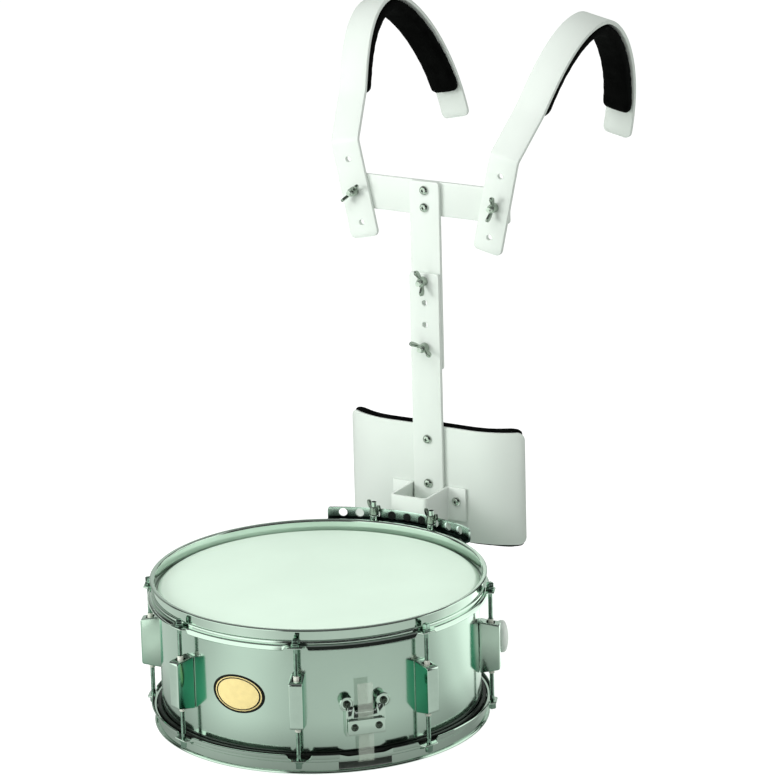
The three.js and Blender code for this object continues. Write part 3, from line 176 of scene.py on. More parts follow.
def lathe(outline, segments=192, start=0.0, sweep=360.0):
    """A closed (r, z) outline turned about the drum's axis."""
    full = sweep >= 360
    turns = [radians(start + sweep * i / segments - 90) for i in range(segments if full else segments + 1)]
    return loft([[(r * cos(t), r * sin(t), z) for r, z in outline] for t in turns], loop=full)


def around(count):
    """The cosine and sine of so many even turns."""
    return [(cos(t), sin(t)) for t in (2 * pi * j / count for j in range(count))]


def spun(outline, segments=32):
    """An open (r, h) outline turned about +Z, closed at the axis."""
    verts, faces, rows = [], [], []
    for r, h in outline:
        if r < 1e-6:
            rows.append([len(verts)] * segments)
            verts.append((0.0, 0.0, h))
        else:
            rows.append(list(range(len(verts), len(verts) + segments)))
            verts += [(r * c, r * s, h) for c, s in around(segments)]
    for a, b in zip(rows, rows[1:]):
        for j in range(segments):
            k = (j + 1) % segments
            face = tuple(dict.fromkeys((a[j], a[k], b[k], b[j])))
            if len(face) > 2:
                faces.append(face)
    return verts, faces


def rounded(before, here, after, radius, steps, extra=0.0):
    """The points that round one corner."""
    into, off = here - before, after - here
    reach = radius * tan(into.angle(off, 0.0) / 2) + extra
    reach = min(reach, into.length * 0.49, off.length * 0.49)
    a, b = here - into.normalized() * reach, here + off.normalized() * reach
    shares = [k / steps for k in range(steps + 1)]
    return [a * (1 - t) ** 2 + here * 2 * t * (1 - t) + b * t * t for t in shares]


def fillet(points, radii, steps=4):
    """An open chain of 2-D points with each inner corner rounded."""
    out = [Vector(points[0])]
    for i in range(1, len(points) - 1):
        near = [Vector(points[i + k]) for k in (-1, 0, 1)]
        radius = radii[i] if isinstance(radii, (list, tuple)) else radii
        out += rounded(*near, radius, steps, 1e-6)
    return out + [Vector(points[-1])]


def loop_fillet(points, radius, steps=4):
    """A closed outline with every corner rounded."""
    count, out = len(points), []
    for i in range(count):
        near = [Vector(points[(i + k) % count]) for k in (-1, 0, 1)]
        out += rounded(*near, radius, steps)
    return out


def frames_of(chain):
    """Each point of a 2-D chain with its direction and the normal to its right."""
    found = []
    for i, p in enumerate(chain):
        a, b = chain[max(i - 1, 0)], chain[min(i + 1, len(chain) - 1)]
        d = (b - a).normalized()
        found.append((p, d, Vector((d.y, -d.x))))
    return found


def sheet_outline(centre, thickness, cap=3):
    """The outline of sheet metal of even thickness along a chain, with round edges."""
    half = thickness / 2
    normals = [-n for _, _, n in frames_of(centre)]
    left = [p + n * half for p, n in zip(centre, normals)]
    right = [p - n * half for p, n in zip(centre, normals)]

    def end(p, n, sign):
        ahead = Vector((n.y, -n.x)) * sign
        turns = [pi * k / (cap + 1) for k in range(1, cap + 1)]
        return [p + (n * cos(t) + ahead * sin(t)) * half for t in turns]

    return left + end(centre[-1], normals[-1], 1) + right[::-1] + end(centre[0], -normals[0], -1)


def oblong(x0, x1, z0, z1):
    return [(x0, z0), (x1, z0), (x1, z1), (x0, z1)]


def box(x0, x1, y0, y1, z0, z1):
    v = [(x, y, z) for x in (x0, x1) for y in (y0, y1) for z in (z0, z1)]
    return v, [(0, 1, 3, 2), (4, 6, 7, 5), (0, 4, 5, 1), (2, 3, 7, 6), (0, 2, 6, 4), (1, 5, 7, 3)]


def prism(outline, z0, z1):
    return loft([[(p[0], p[1], z) for p in outline] for z in (z0, z1)])


def rod(radius, h0, h1, sides=24):
    return spun([(0, h0), (radius, h0), (radius, h1), (0, h1)], sides)


def along(axis, at):
    """A matrix that takes +Z to an axis, at a place."""
    turn = Vector((0, 0, 1)).rotation_difference(Vector(axis))
    return Matrix.Translation(Vector(at)) @ turn.to_matrix().to_4x4()


def spin(degrees):
    return Matrix.Rotation(radians(degrees), 4, "Z")


def spot(azimuth, r):
    t = radians(azimuth)
    return Vector((r * sin(t), -r * cos(t), 0))


def radial(azimuth, r, z, across=0.0):
    """A matrix that takes +Z outwards at an azimuth."""
    t = radians(azimuth - 90)
    c, s = cos(t), sin(t)
    at = (r * c - across * s, r * s + across * c, z)
    turn = Matrix(((0, -s, c, 0), (0, c, s, 0), (-1, 0, 0, 0), (0, 0, 0, 1)))
    return Matrix.Translation(Vector(at)) @ turn


def threaded(radius, h0, h1, pitch, depth, sides=20):
    """A screw thread, as one helical ripple."""
    steps = max(2, int((h1 - h0) / pitch * 5))
    rings = []
    for i in range(steps + 1):
        h = h0 + (h1 - h0) * i / steps
        ring = []
        for j in range(sides):
            t = 2 * pi * j / sides
            wave = 0.5 + 0.5 * cos(2 * pi * h / pitch - t)
            r = radius - depth * wave
            ring.append((r * cos(t), r * sin(t), h))
        rings.append(ring)
    return loft(rings)


def shared(source, name, matrix):
    """Another object of the same mesh, moved by a millimetre matrix from the source's place."""
    lift = Matrix.Translation((0, AXIS_Y * MM, 0))
    scaled = matrix.copy()
    scaled.translation = matrix.translation * MM
    obj = linked(name, source.data)
    obj.matrix_world = lift @ scaled @ lift.inverted()
    return obj


def puffed(obj, shrink, cap, voxel=0.003, pressure=4.0):
    """Fills a foam piece out by a short cloth simulation, each point moving no further than the cap."""
    frames, rest_angle = 20, 80
    bm = bmesh.new()
    bm.from_mesh(obj.data)
    bmesh.ops.recalc_face_normals(bm, faces=bm.faces)
    bm.normal_update()
    for vert in bm.verts:
        vert.co -= vert.normal * shrink * MM
    bm.to_mesh(obj.data)
    bm.free()
    modifier(obj, "REMESH", mode="VOXEL", voxel_size=voxel)
    apply_all(obj, rest_angle)
    rest = [v.co.copy() for v in obj.data.vertices]
    cloth = obj.modifiers.new("cloth", "CLOTH")
    for key, value in (("use_pressure", True), ("uniform_pressure_force", pressure), ("mass", 0.3),
                       ("tension_stiffness", 12), ("bending_stiffness", 4)):
        setattr(cloth.settings, key, value)
    cloth.settings.effector_weights.gravity = 0
    cloth.point_cache.frame_start, cloth.point_cache.frame_end = 1, frames
    for now in range(1, frames + 1):
        SCENE.frame_set(now)
    graph = bpy.context.evaluated_depsgraph_get()
    filled = obj.evaluated_get(graph).to_mesh()
    places = []
    for start, vert in zip(rest, filled.vertices):
        step = vert.co - start
        far = step.length
        places.append(start + step * min(1.0, cap * MM / far) if far > 1e-9 else start)
    obj.modifiers.clear()
    SCENE.frame_set(1)
    for vert, place in zip(obj.data.vertices, places):
        vert.co = place
    modifier(obj, "SMOOTH", factor=0.5, iterations=4)
    modifier(obj, "SUBSURF", levels=1, render_levels=1)
    return apply_all(obj, rest_angle)


# ---- materials
def new_material(name):
    mat = bpy.data.materials.new(name)
    mat.use_nodes = True
    return mat, mat.node_tree, mat.node_tree.nodes["Principled BSDF"]


def wire_up(tree, made, inputs):
    """Each input is given a value or the socket that feeds it."""
    for key, value in inputs.items():
        if isinstance(value, bpy.types.NodeSocket):
            tree.links.new(value, made.inputs[key])
        else:
            made.inputs[key].default_value = value


def add(tree, kind, inputs=None, **settings):
    made = tree.nodes.new("ShaderNode" + kind)
    for key, value in settings.items():
        setattr(made, key, value)
    wire_up(tree, made, inputs or {})
    return made


def mapped(tree, value, low, high, to_low=0.0, to_high=1.0, **settings):
    inputs = {"Value": value, "From Min": low, "From Max": high, "To Min": to_low, "To Max": to_high}
    return add(tree, "MapRange", inputs, **settings).outputs["Result"]


def mixed(tree, share, first, second):
    return add(tree, "Mix", {0: share, 6: first, 7: second}, data_type="RGBA").outputs[2]


def worked(tree, operation, first, second):
    return add(tree, "Math", {0: first, 1: second}, operation=operation).outputs[0]


def finish_of(name, colour, metallic=0.0, rough=0.4, vary=0.05, patch=30.0, bump=0.0, grain=900.0,
              stretch=(1, 1, 1), spread=0.06, edge=None, painted_flank_reflection=None, painted_dark_foot=None, **sockets):
    """A surface with broad colour drift and fine grain in its gloss and relief. It may be darker on sharp
    edges, have a painted dark reflection where it turns edge-on, and a painted dark foot that ends between two
    heights."""
    mat, tree, shader = new_material(name)
    where = add(tree, "TexCoord").outputs["Object"]
    broad = add(tree, "TexNoise", {"Scale": patch, "Detail": 3.0, "Vector": where})
    ramp = add(tree, "ValToRGB", {"Fac": broad.outputs["Fac"]})
    tones = [c * (1 - vary) for c in colour] + [1], [min(1.0, c * (1 + vary * 0.6)) for c in colour] + [1]
    for element, position, tone in zip(ramp.color_ramp.elements, (0.3, 0.7), tones):
        element.position, element.color = position, tone
    out = ramp.outputs["Color"]
    if edge:
        pointed = add(tree, "NewGeometry").outputs["Pointiness"]
        out = mixed(tree, mapped(tree, pointed, 0.52, 0.62), out, (*edge, 1))
    # Painted dark reflection: darker towards the bottom, between two heights.
    if painted_dark_foot:
        height = add(tree, "SeparateXYZ", {0: where}).outputs["Z"]
        rise = mapped(tree, height, painted_dark_foot[0], painted_dark_foot[1], interpolation_type="SMOOTHSTEP")
        out = mixed(tree, rise, (*painted_dark_foot[2], 1), out)
    # Painted dark reflection where the surface turns edge-on to the view.
    if painted_flank_reflection:
        facing = add(tree, "LayerWeight", {"Blend": 0.5}).outputs["Facing"]
        out = mixed(tree, mapped(tree, facing, 0.08, 0.22, interpolation_type="SMOOTHSTEP"), out, (*painted_flank_reflection, 1))
    grained = add(tree, "Mapping", {"Scale": stretch, "Vector": where}).outputs["Vector"]
    fine = add(tree, "TexNoise", {"Scale": grain, "Detail": 4.0, "Vector": grained}).outputs["Fac"]
    gloss = mapped(tree, fine, 0.0, 1.0, max(0.02, rough - spread), rough + spread)
    wire_up(tree, shader, {"Base Color": out, "Metallic": metallic, "Roughness": gloss})
    wire_up(tree, shader, {key.replace("_", " "): value for key, value in sockets.items()})
    if bump:
        relief = add(tree, "Bump", {"Distance": 0.0004, "Strength": bump, "Height": fine})
        wire_up(tree, shader, {"Normal": relief.outputs["Normal"]})
    return mat


STEEL = finish_of("shell_steel", (0.66, 0.79, 0.71), 1.0, 0.14, patch=9, bump=0.02,
                  grain=60, stretch=(1, 1, 60), spread=0.04)
CHROME = finish_of("chrome_plate", (0.74, 0.86, 0.78), 1.0, 0.06, vary=0.04, patch=25, bump=0.015, grain=500,
                   spread=0.03)
CAST = finish_of("chrome_casting", (0.74, 0.87, 0.79), 1.0, 0.11, vary=0.06, patch=60, bump=0.05,
                 grain=260, spread=0.05)
# The lugs' side faces: chrome darkened with a painted dark reflection, darkest where they turn edge-on.
CAST_FLANK_PAINTED_REFLECTION = finish_of("chrome_casting_flank_painted_reflection", (0.60, 0.73, 0.64), 1.0, 0.13, vary=0.06, patch=40, bump=0.05,
                      grain=260, spread=0.05, painted_flank_reflection=(0.07, 0.40, 0.24))
# Plated tension rods, their colour darkened as a painted dark reflection.
ROD = finish_of("rod_plating_painted_dark_reflection", (0.34, 0.48, 0.40), 1.0, 0.12, vary=0.2, patch=220, bump=0.05, grain=700)
ZINC = finish_of("bright_fastener", (0.58, 0.64, 0.58), 1.0, 0.16, vary=0.18, patch=160, bump=0.12,
                 grain=900, spread=0.1)
FILM = finish_of("coated_film", (0.77, 0.945, 0.80), 0.0, 0.42, vary=0.02, patch=14, bump=0.05,
                 grain=2600, spread=0.05)
ALLOY = finish_of("flesh_hoop_alloy", (0.55, 0.6, 0.56), 1.0, 0.3, vary=0.08, patch=40, bump=0.08,
                  grain=300, stretch=(1, 1, 6))
COAT = {"rough": 0.36, "vary": 0.02, "patch": 12, "bump": 0.14, "grain": 1500, "Coat_Weight": 0.15,
        "Coat_Roughness": 0.25}
PAINT = finish_of("white_powder_coat", (0.73, 0.79, 0.735), edge=(0.68, 0.75, 0.69), **COAT)
FOAM = finish_of("black_foam", (0.0022, 0.0024, 0.0022), 0.0, 0.95, vary=0.5, patch=70, bump=0.5,
                 grain=1700, Specular_IOR_Level=0.04)
TAPE = finish_of("clear_strip", (0.84, 0.95, 0.82), 0.0, 0.3, patch=90, bump=0.05,
                 grain=700, Alpha=0.24, IOR=1.38)
NYLON = finish_of("nylon_sleeve", (0.70, 0.74, 0.64), 0.0, 0.35, vary=0.1, patch=200, bump=0.1)
# Near-black plating as painted shade in the gap between each hoop's skirt and the shell.
PAINTED_GAP_SHADE = finish_of("painted_shade_in_the_gap", (0.07, 0.09, 0.075), 1.0, 0.3, vary=0.3, patch=60, bump=0.1)
SCREW = finish_of("dark_screw", (0.13, 0.16, 0.13), 1.0, 0.22, vary=0.4, patch=300, bump=0.15)
# Rail plating with a painted dark reflection, darkening towards its bottom edge.
RAIL = finish_of("rail_plating_painted_dark_foot", (0.80, 0.95, 0.88), 1.0, 0.2, patch=25, bump=0.03, grain=300,
                 spread=0.05, painted_dark_foot=(0.1615, 0.1700, (0.02, 0.035, 0.03)))
CASTING = finish_of("nut_casting", (0.38, 0.44, 0.38), 1.0, 0.18, vary=0.3, patch=200, bump=0.15)
# The belly plate's white coat, darker than the other white parts as painted shade.
SHADED_PLATE_COAT = finish_of("white_coat_painted_shade", (0.675, 0.735, 0.68), edge=(0.64, 0.71, 0.65), **COAT)
# Black for the rail bolts and the snare-side flesh hoop; inside the lug pockets the same black is painted
# shade.
BLACK = finish_of("black_oxide_and_painted_pocket_shade", (0.012, 0.014, 0.012), 0.4, 0.4, vary=0.3, patch=300, bump=0.2)
FELT = finish_of("felt", (0.7, 0.68, 0.6), 0.0, 0.95, vary=0.1, patch=200, bump=0.9, grain=1500,
                 Sheen_Weight=0.4)
SATIN = finish_of("satin_knob", (0.90, 0.99, 0.91), 0.0, 0.4, vary=0.04, patch=60, bump=0.05, grain=400)
CREAM = finish_of("badge_cream", (0.90, 0.74, 0.31), 0.0, 0.3, patch=150, bump=0.04,
                  grain=800, Coat_Weight=0.5)
INK = finish_of("badge_border", (0.006, 0.008, 0.006), 0.0, 0.6, vary=0.3, patch=400, bump=0.03,
                Specular_IOR_Level=0.2)


def ride(obj, body="drum", replaces=()):
    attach(obj, body)
    if replaces:
        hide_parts(*replaces)
    return obj


# ---- drum
def build_shell():
    chain = fillet([(174.3, 13.3), (177.2, 16.2), (177.2, 148.9), (174.3, 151.8)], 2.0, 5)
    shell = make("shell_skin", lathe(sheet_outline(chain, 1.2), 256), STEEL)
    boolean(shell, [moved(rod(7.0, -6, 6, 32), radial(TONE_AZ, SHELL_R, TONE_Z))])
    ride(shell, "drum", ["shell"])


def build_head(node, edge, up):
    rise = 2.6 if up > 0 else 0.5
    film = [(0.0, rise), (120.0, rise), (174.2, rise), (178.5, rise - 4.0), (178.5, -6.6)]
    chain = fillet([(r, edge + up * h) for r, h in film], [0, 0, 5, 2.5, 0], 5)
    half, middle = 0.2, [(max(p.x, 0.0), p.y) for p in chain]
    skin = [(r, z + up * half) for r, z in middle] + [(r, z - up * half) for r, z in middle[::-1]]
    ride(make(f"{node}_film", spun(skin, 192), FILM), "drum", [node])
    ring = loop_fillet(oblong(178.6, 182.8, edge - up * 2.4, edge - up * 9.1), 1.2, 3)
    metal = ALLOY if up > 0 else BLACK
    ride(make(f"{node}_flesh_hoop", lathe([(p.x, p.y) for p in ring], 192), metal))


def hoop_section(u):
    """Sheet section of the hoop at a distance u from the nearest rod, measured round the hoop."""
    near = abs(u)
    ear = max(0.0, min(1.0, (11.0 - near) / 3.0))
    lip = max(0.0, min(1.0, (near - 11.0) / 3.4))
    lip = lip * lip * (3 - 2 * lip)
    corner = 188.8 + 5.95 * ear
    drop = 0.05 + 3.95 * lip
    points = [(185.8, 11.0), (185.2, 11.7), (182.2, 11.7), (182.2, -0.9), (184.2, -0.9),
              (184.2, -5.2), (corner - 1.7 * lip, -5.2), (corner, -5.2 - drop)]
    chain = fillet(points, [0, 0.5, 2.2, 0.9, 0.9, 0.9, 1.4, 0], 4)
    return sheet_outline(chain, 2.0, 3)


def build_hoop(node, edge, up, gates):
    marks = [-15.5, -14.6, -13.8, -13, -12.2, -11.5, -11, -10, -9, -8, -4]
    marks = marks + [0] + [-m for m in marks[::-1]]
    per_mm = 360 / (2 * pi * 188.8)
    stations = []
    for azimuth in LUG_AZ:
        stations += [(azimuth + m * per_mm, m) for m in marks]
        gap = 45 - 31 * per_mm
        stations += [(azimuth + 15.5 * per_mm + gap * k / 20, 20.0) for k in range(1, 20)]
    rings = [turned([(p.x, 0.0, edge + up * p.y) for p in hoop_section(u)], azimuth) for azimuth, u in stations]
    hoop = make(f"{node}_sheet", loft(rings, loop=True), CHROME, 40)
    hole = pushed(rod(2.85, *sorted((edge - up * 10, edge)), 16), ROD_CIRCLE)
    boolean(hoop, [put(hole, azimuth) for azimuth in LUG_AZ], sharp=40)
    for azimuth in gates:
        for gate in (box(178, 200, -30, 30, 3.0, 12.0), box(185.36, 200, -30, 30, 12.26, 30)):
            boolean(hoop, [put(gate, azimuth)], sharp=40)
    # Inward faces of each hoop's skirt, in the gap towards the shell, get the painted shade.
    hoop.data.materials.append(PAINTED_GAP_SHADE)
    for face in hoop.data.polygons:
        x, y, z = face.center / MM
        r, h = hypot(x, y - AXIS_Y), up * (z - edge)
        outward = (face.normal.x * x + face.normal.y * (y - AXIS_Y)) / r
        if h < -5.4 and 183 < r < 189.2 and outward < -0.5:
            face.material_index = 1
    ride(hoop, "drum", [node])


def build_lugs():
    face_r = LUG_BACK + LUG_DEPTH
    outline = [(LUG_BACK, -30), (LUG_BACK + 21, -26.4), (face_r, -24.6),
               (face_r, 24.6), (LUG_BACK + 21, 26.4), (LUG_BACK, 30)]
    master = make("lug_master", loft([[(x, y, z) for x, z in outline] for y in (-7.5, 7.5)]), CAST, 40)
    bevel(master, 1.7, 4, 20, 40)
    pockets, sleeves = [], []
    for end in (-1, 1):
        z = sorted((end * 20.8, end * 34))
        pockets.append(box(ROD_CIRCLE - 4.7, ROD_CIRCLE + 4.7, -4.7, 4.7, *z))
        profile = [(2.8, 19.0), (3.2, 19.0), (3.2, 31.6), (3.0, 32.0), (2.8, 32.0), (2.8, 19.0)]
        sleeves.append(spun([(r, end * z) for r, z in profile], 24))
    boolean(master, pockets, sharp=40)
    master.data.materials.append(CAST_FLANK_PAINTED_REFLECTION)
    master.data.materials.append(BLACK)
    for face in master.data.polygons:
        at = face.center / MM
        # Side faces get the flank finish with its painted dark reflection.
        if abs(face.normal.y) > 0.93 and abs(at.y - AXIS_Y) > 6.2:
            face.material_index = 1
        # Faces inside the end pockets are painted black as painted shade in the recess.
        inside = max(abs(at.x - ROD_CIRCLE), abs(at.y - AXIS_Y)) < 4.8 and abs(at.z) > 20.6
        if inside and (abs(face.normal.z) < 0.2 or abs(at.z) < 21):
            face.material_index = 2
    sleeve = make("sleeve_master", pushed(joined(sleeves), ROD_CIRCLE), NYLON)
    for i, azimuth in enumerate(LUG_AZ):
        place = Matrix.Translation((0, 0, MIDDLE)) @ spin(azimuth - 90)
        ride(shared(master, f"lug_{i + 1}_casting", place), "drum", [f"lug_{i + 1}"])
        ride(shared(sleeve, f"lug_{i + 1}_sleeves", place))
    for spare in (master, sleeve):
        bpy.data.objects.remove(spare)


def build_rods():
    collar = spun([(2.4, 0.0), (4.3, 0.0), (4.7, 0.4), (4.7, 1.3), (4.2, 1.8), (3.2, 2.0), (2.4, 2.0)], 32)
    square = loop_fillet(oblong(-3.1, 3.1, -3.1, 3.1), 0.6, 3)
    rings = []
    for h, s in ((1.6, 1.0), (7.2, 1.0), (7.8, 0.92), (8.2, 0.72)):
        rings.append([(p.x * s, p.y * s, h) for p in square])
    master = make("rod_master", joined((collar, loft(rings), rod(2.5, -8.0, 1.8, 20),
                                        threaded(2.5, -45.9, -8.0, 0.8, 0.22, 16))), ROD, 40)
    flip = Matrix.Rotation(pi, 4, "X")
    for i, azimuth in enumerate(LUG_AZ):
        turn = spin(azimuth - 90 + 17 * (i % 4))
        for kind, z, extra in (("batter", BATTER_SEAT, Matrix.Identity(4)),
                               ("snare_side", SNARE_SIDE_SEAT, flip)):
            place = Matrix.Translation(spot(azimuth, ROD_CIRCLE) + Vector((0, 0, z))) @ turn @ extra
            body = f"{kind}_rod_{i + 1}"
            ride(shared(master, f"{body}_screw", place), body, [body])
    bpy.data.objects.remove(master)


def build_badge():
    """An oval plate bent to the shell, with a dark rim and a thin line inside it."""
    count = 96

    def dome(scale_out, scale_in, lift, rise, name, mat, rows):
        rings = []
        for k in range(rows + 1):
            s = scale_out + (scale_in - scale_out) * k / rows
            slope = abs(2 * k / rows - 1) if scale_in > 0 else 1 - k / rows
            r = SHELL_R + (lift + rise * (1 - slope ** 3))
            places = [(BADGE_HALF_W * s * c / SHELL_R, BADGE_HALF_H * s * q) for c, q in around(count)]
            rings.append([(r * cos(a), r * sin(a), BADGE_Z + up_z) for a, up_z in places])
        verts, faces = loft(rings, caps=False)
        if scale_in <= 0.02:
            faces.append(tuple(range(rows * count, (rows + 1) * count)))
        ride(make(name, put((verts, faces), BADGE_AZ), mat, 60))

    dome(1.0, 0.0, 0.05, 0.85, "badge_plate", CREAM, 8)
    dome(1.0, 0.885, 0.12, 0.98, "badge_rim", INK, 4)
    dome(0.845, 0.79, 0.5, 0.52, "badge_inner_line", INK, 3)


def build_butt():
    front = LUG_BACK + 8.5

    def slab(outline, r0, sheet):
        return put(loft([[(r0 + x, p.x, p.y) for p in outline] for x in (0, sheet)]), SNARE_AZ)

    # The bracket: two arms that stand off the shell, joined by a bar across
    outline = loop_fillet([(-20.5, 76), (-20.5, 42), (20.5, 42), (20.5, 76), (12.5, 76), (12.5, 70.5),
                           (-12.5, 70.5), (-12.5, 76)], 2.4, 4)
    base = make("butt_bracket", slab(outline, front - 2.5, 2.5), CHROME, 40)
    bevel(base, 0.5, 2, 40, 40)
    for k, side in enumerate((-1, 1)):
        y = sorted((side * 22.2, side * 19.8))
        arm = make(f"butt_arm_{k + 1}", put(box(LUG_BACK, front, *y, 42, 78), SNARE_AZ), CHROME)
        bevel(ride(arm), 0.5, 2)
    ride(base, "drum", ["butt_base"])
    ear = spun([(0, 0), (5.0, 0), (5.0, 5.6), (7.6, 5.6), (8.0, 6.0), (8.0, 7.8), (7.6, 8.3), (6.6, 8.3),
                (6.2, 7.7), (0, 7.7)], 48)
    post = rod(2.5, front - 178.0, front - 176.0, 16)
    for k, side in enumerate((-1, 1)):
        wide, narrow = side * 20.5, side * 13.5
        at = radial(SNARE_AZ, LUG_BACK, 79, wide)
        ride(make(f"butt_ear_{k + 1}", moved(ear, at), CHROME))
        screw_head(f"butt_screw_{k + 1}", radial(SNARE_AZ, front - 0.8, 79, wide), 4.3, 2.3)
        screw_head(f"clamp_screw_{k + 1}", radial(SNARE_AZ, front + 4.1, 53, narrow), 4.1, 1.9)
        at = radial(SNARE_AZ, 178.0, 53, narrow)
        ride(make(f"clamp_post_{k + 1}", moved(post, at), CHROME))
    outline = loop_fillet(oblong(-21, 21, 44.5, 61.5), 3.2, 5)
    piece = make("butt_clamp_plate", slab(outline, front + 1.6, 2.6), CHROME, 40)
    bevel(piece, 0.7, 3, 40, 40)
    ride(piece, "drum", ["butt_clamp"])


def screw_head(name, matrix, radius, height):
    """A pan head with a cross recess."""
    head = spun([(0, 0), (radius, 0), (radius, height * 0.35), (radius * 0.86, height * 0.72),
                 (radius * 0.55, height * 0.95), (0, height)], 32)
    obj = make(name, moved(head, matrix), SCREW)
    half, wide = radius * 0.55, radius * 0.14
    star = [(wide, wide), (wide, half), (-wide, half), (-wide, wide), (-half, wide), (-half, -wide),
            (-wide, -wide), (-wide, -half), (wide, -half), (wide, -wide), (half, -wide), (half, wide)]
    boolean(obj, [moved(prism(star, height * 0.35, height * 1.5), matrix)])
    return ride(obj)


def dome_bolt(name, matrix, body):
    """A button head with a hexagon socket."""
    head = spun([(0, 0.3), (5.4, 0.3), (5.4, 1.1), (5.05, 1.9), (4.2, 2.8), (2.9, 3.45), (0, 3.7)], 40)
    obj = make(name, moved(head, matrix), ZINC)
    hexagon = [(2.1 * cos(k * pi / 3), 2.1 * sin(k * pi / 3)) for k in range(6)]
    boolean(obj, [moved(prism(hexagon, 1.7, 6), matrix)])
    return ride(obj, body)


def tape(name, node_name, azimuth, top_r, top_z, bend_z, body):
    """A thin strip down the shell and in through the gate, with a little slack in it."""
    end_r, end_z = 130.6, 9.8
    points = [(top_r, top_z), (top_r, bend_z), (185.8, 22), (186.0, end_z + 3), (182.5, end_z), (end_r, end_z)]
    outline = sheet_outline(fillet(points, [0, 8, 8, 3, 3, 0], 6), 0.8, 2)
    data = loft([[(p.x, y, p.y) for p in outline] for y in (-8.5, -8.1, 8.1, 8.5)])
    ride(make(name, put(data, azimuth), TAPE, 50), body, [node_name])


def build_wires():
    """Coiled strands between two end plates."""
    half, count, pitch, height = 130.0, 16, 2.7, 10.9
    turns, steps, sides, coil, wire = 112, 7, 4, 0.72, 0.28
    length = 2 * (half - 12)
    strands = []
    for w in range(count):
        y = (w - (count - 1) / 2) * pitch
        rings = []
        for i in range(turns * steps + 1):
            t = 2 * pi * i / steps
            x = -length / 2 + length * i / (turns * steps)
            cy, cz = coil * cos(t), coil * sin(t)
            rings.append([(x + wire * s, y + cy + wire * c * cos(t), height + cz + wire * c * sin(t))
                          for c, s in around(sides)])
        strands.append(loft(rings))
    obj = make("wire_strands", put(joined(strands), SNARE_AZ), ZINC, 60)
    ride(obj, "snare_wires", ["snare_wires"])
    for k, end in enumerate((-1, 1)):
        x = sorted((end * 116, end * half))
        plate = make(f"wire_plate_{k + 1}", put(box(*x, -21.6, 21.6, 10.3, 11.5), SNARE_AZ), CHROME)
        ride(bevel(plate, 0.4, 2), "snare_wires")


def build_tone():
    matrix = radial(TONE_AZ, 0, TONE_Z)
    back = SHELL_R + 19
    profile = [(0, back), (14.5, back), (16.8, back + 0.7), (17.8, back + 2.6), (18, back + 4.5),
               (17.9, back + 6.2), (17.1, back + 7.8), (15.2, back + 9.3), (11.5, back + 10.6),
               (6.5, back + 11.6), (0, back + 12)]
    knob = make("tone_knob_disc", moved(spun(profile, 64), matrix), SATIN)
    ride(knob, "tone_knob", ["tone_knob"])
    neck = spun([(0, 181.2), (6.5, 181.2), (6.5, 183), (5.8, 184), (5.8, back), (0, back)], 32)
    ride(make("tone_knob_neck", moved(neck, matrix), CHROME), "tone_knob")
    shaft = make("tone_shaft", moved(rod(4.0, 168.5, 181.3, 20), matrix), CHROME)
    ride(shaft, "tone_knob")


# ---- carrier
def wing_nut():
    """A cast wing nut along +Z: hub and wings fused and softened, then bored."""
    hub = spun([(0, 0), (5.2, 0), (5.7, 0.6), (5.5, 3.2), (4.7, 9.0), (4.2, 9.4), (0, 9.4)], 40)
    obj = make("wing_nut_master", hub, CASTING)
    wings = []
    for side in (-1, 1):
        shape = []
        for x, z in ((2.0, 4.2), (6.0, 4.9), (10.2, 5.8), (13.4, 7.8), (15.0, 10.6), (14.6, 13.4), (12.9, 14.6),
                     (10.5, 14.1), (8.6, 11.8), (6.4, 9.8), (4.0, 8.5), (2.0, 8.2)):
            shape.append((side * x, z))
        data = prism(shape if side > 0 else shape[::-1], -1.6, 1.6)
        wings.append(([(x, y, z) for x, z, y in data[0]], data[1]))
    boolean(obj, wings[:1], "UNION")
    boolean(obj, wings[1:], "UNION")
    modifier(obj, "REMESH", mode="VOXEL", voxel_size=0.00042)
    modifier(obj, "SMOOTH", factor=0.5, iterations=7)
    apply_all(obj, 60)
    boolean(obj, [rod(3.1, -3, 14, 24)], sharp=60)
    return obj


def hang_nut(kind, label, at):
    """A wing nut on a stud that points forward."""
    place = Matrix.Translation(at) @ Matrix.Rotation(pi / 2, 4, "X") @ spin(NUT_TURN[label])
    body = f"{kind}_nut_{label}"
    ride(shared(NUT, f"{body}_cast", place), body, [body])


def stud(name, matrix, h0, h1, body):
    """The threaded end of a bolt."""
    data = threaded(3.0, h0, h1 - 0.5, 1.0, 0.3, 20)
    ride(make(name, moved(data, matrix), ZINC, 50), body)


def bar(name, half, z0, z1, y0, holes, node_name, body):
    """An upright or cross bar with round edges and round holes (x, z, radius)."""
    y1 = y0 + BAR_SHEET
    shape = loop_fillet(oblong(-half, half, z0, z1), 4.0, 6)
    obj = make(name, loft([[(p.x, y, p.y) for p in shape] for y in (y0, y1)]), PAINT, 40)
    bevel(obj, 0.9, 3, 40, 40)
    if holes:
        tools = [moved(rod(r, -20, 20, 28), along((0, 1, 0), (x, (y0 + y1) / 2, z))) for x, z, r in holes]
        boolean(obj, tools, sharp=40)
    return ride(obj, body, [node_name])


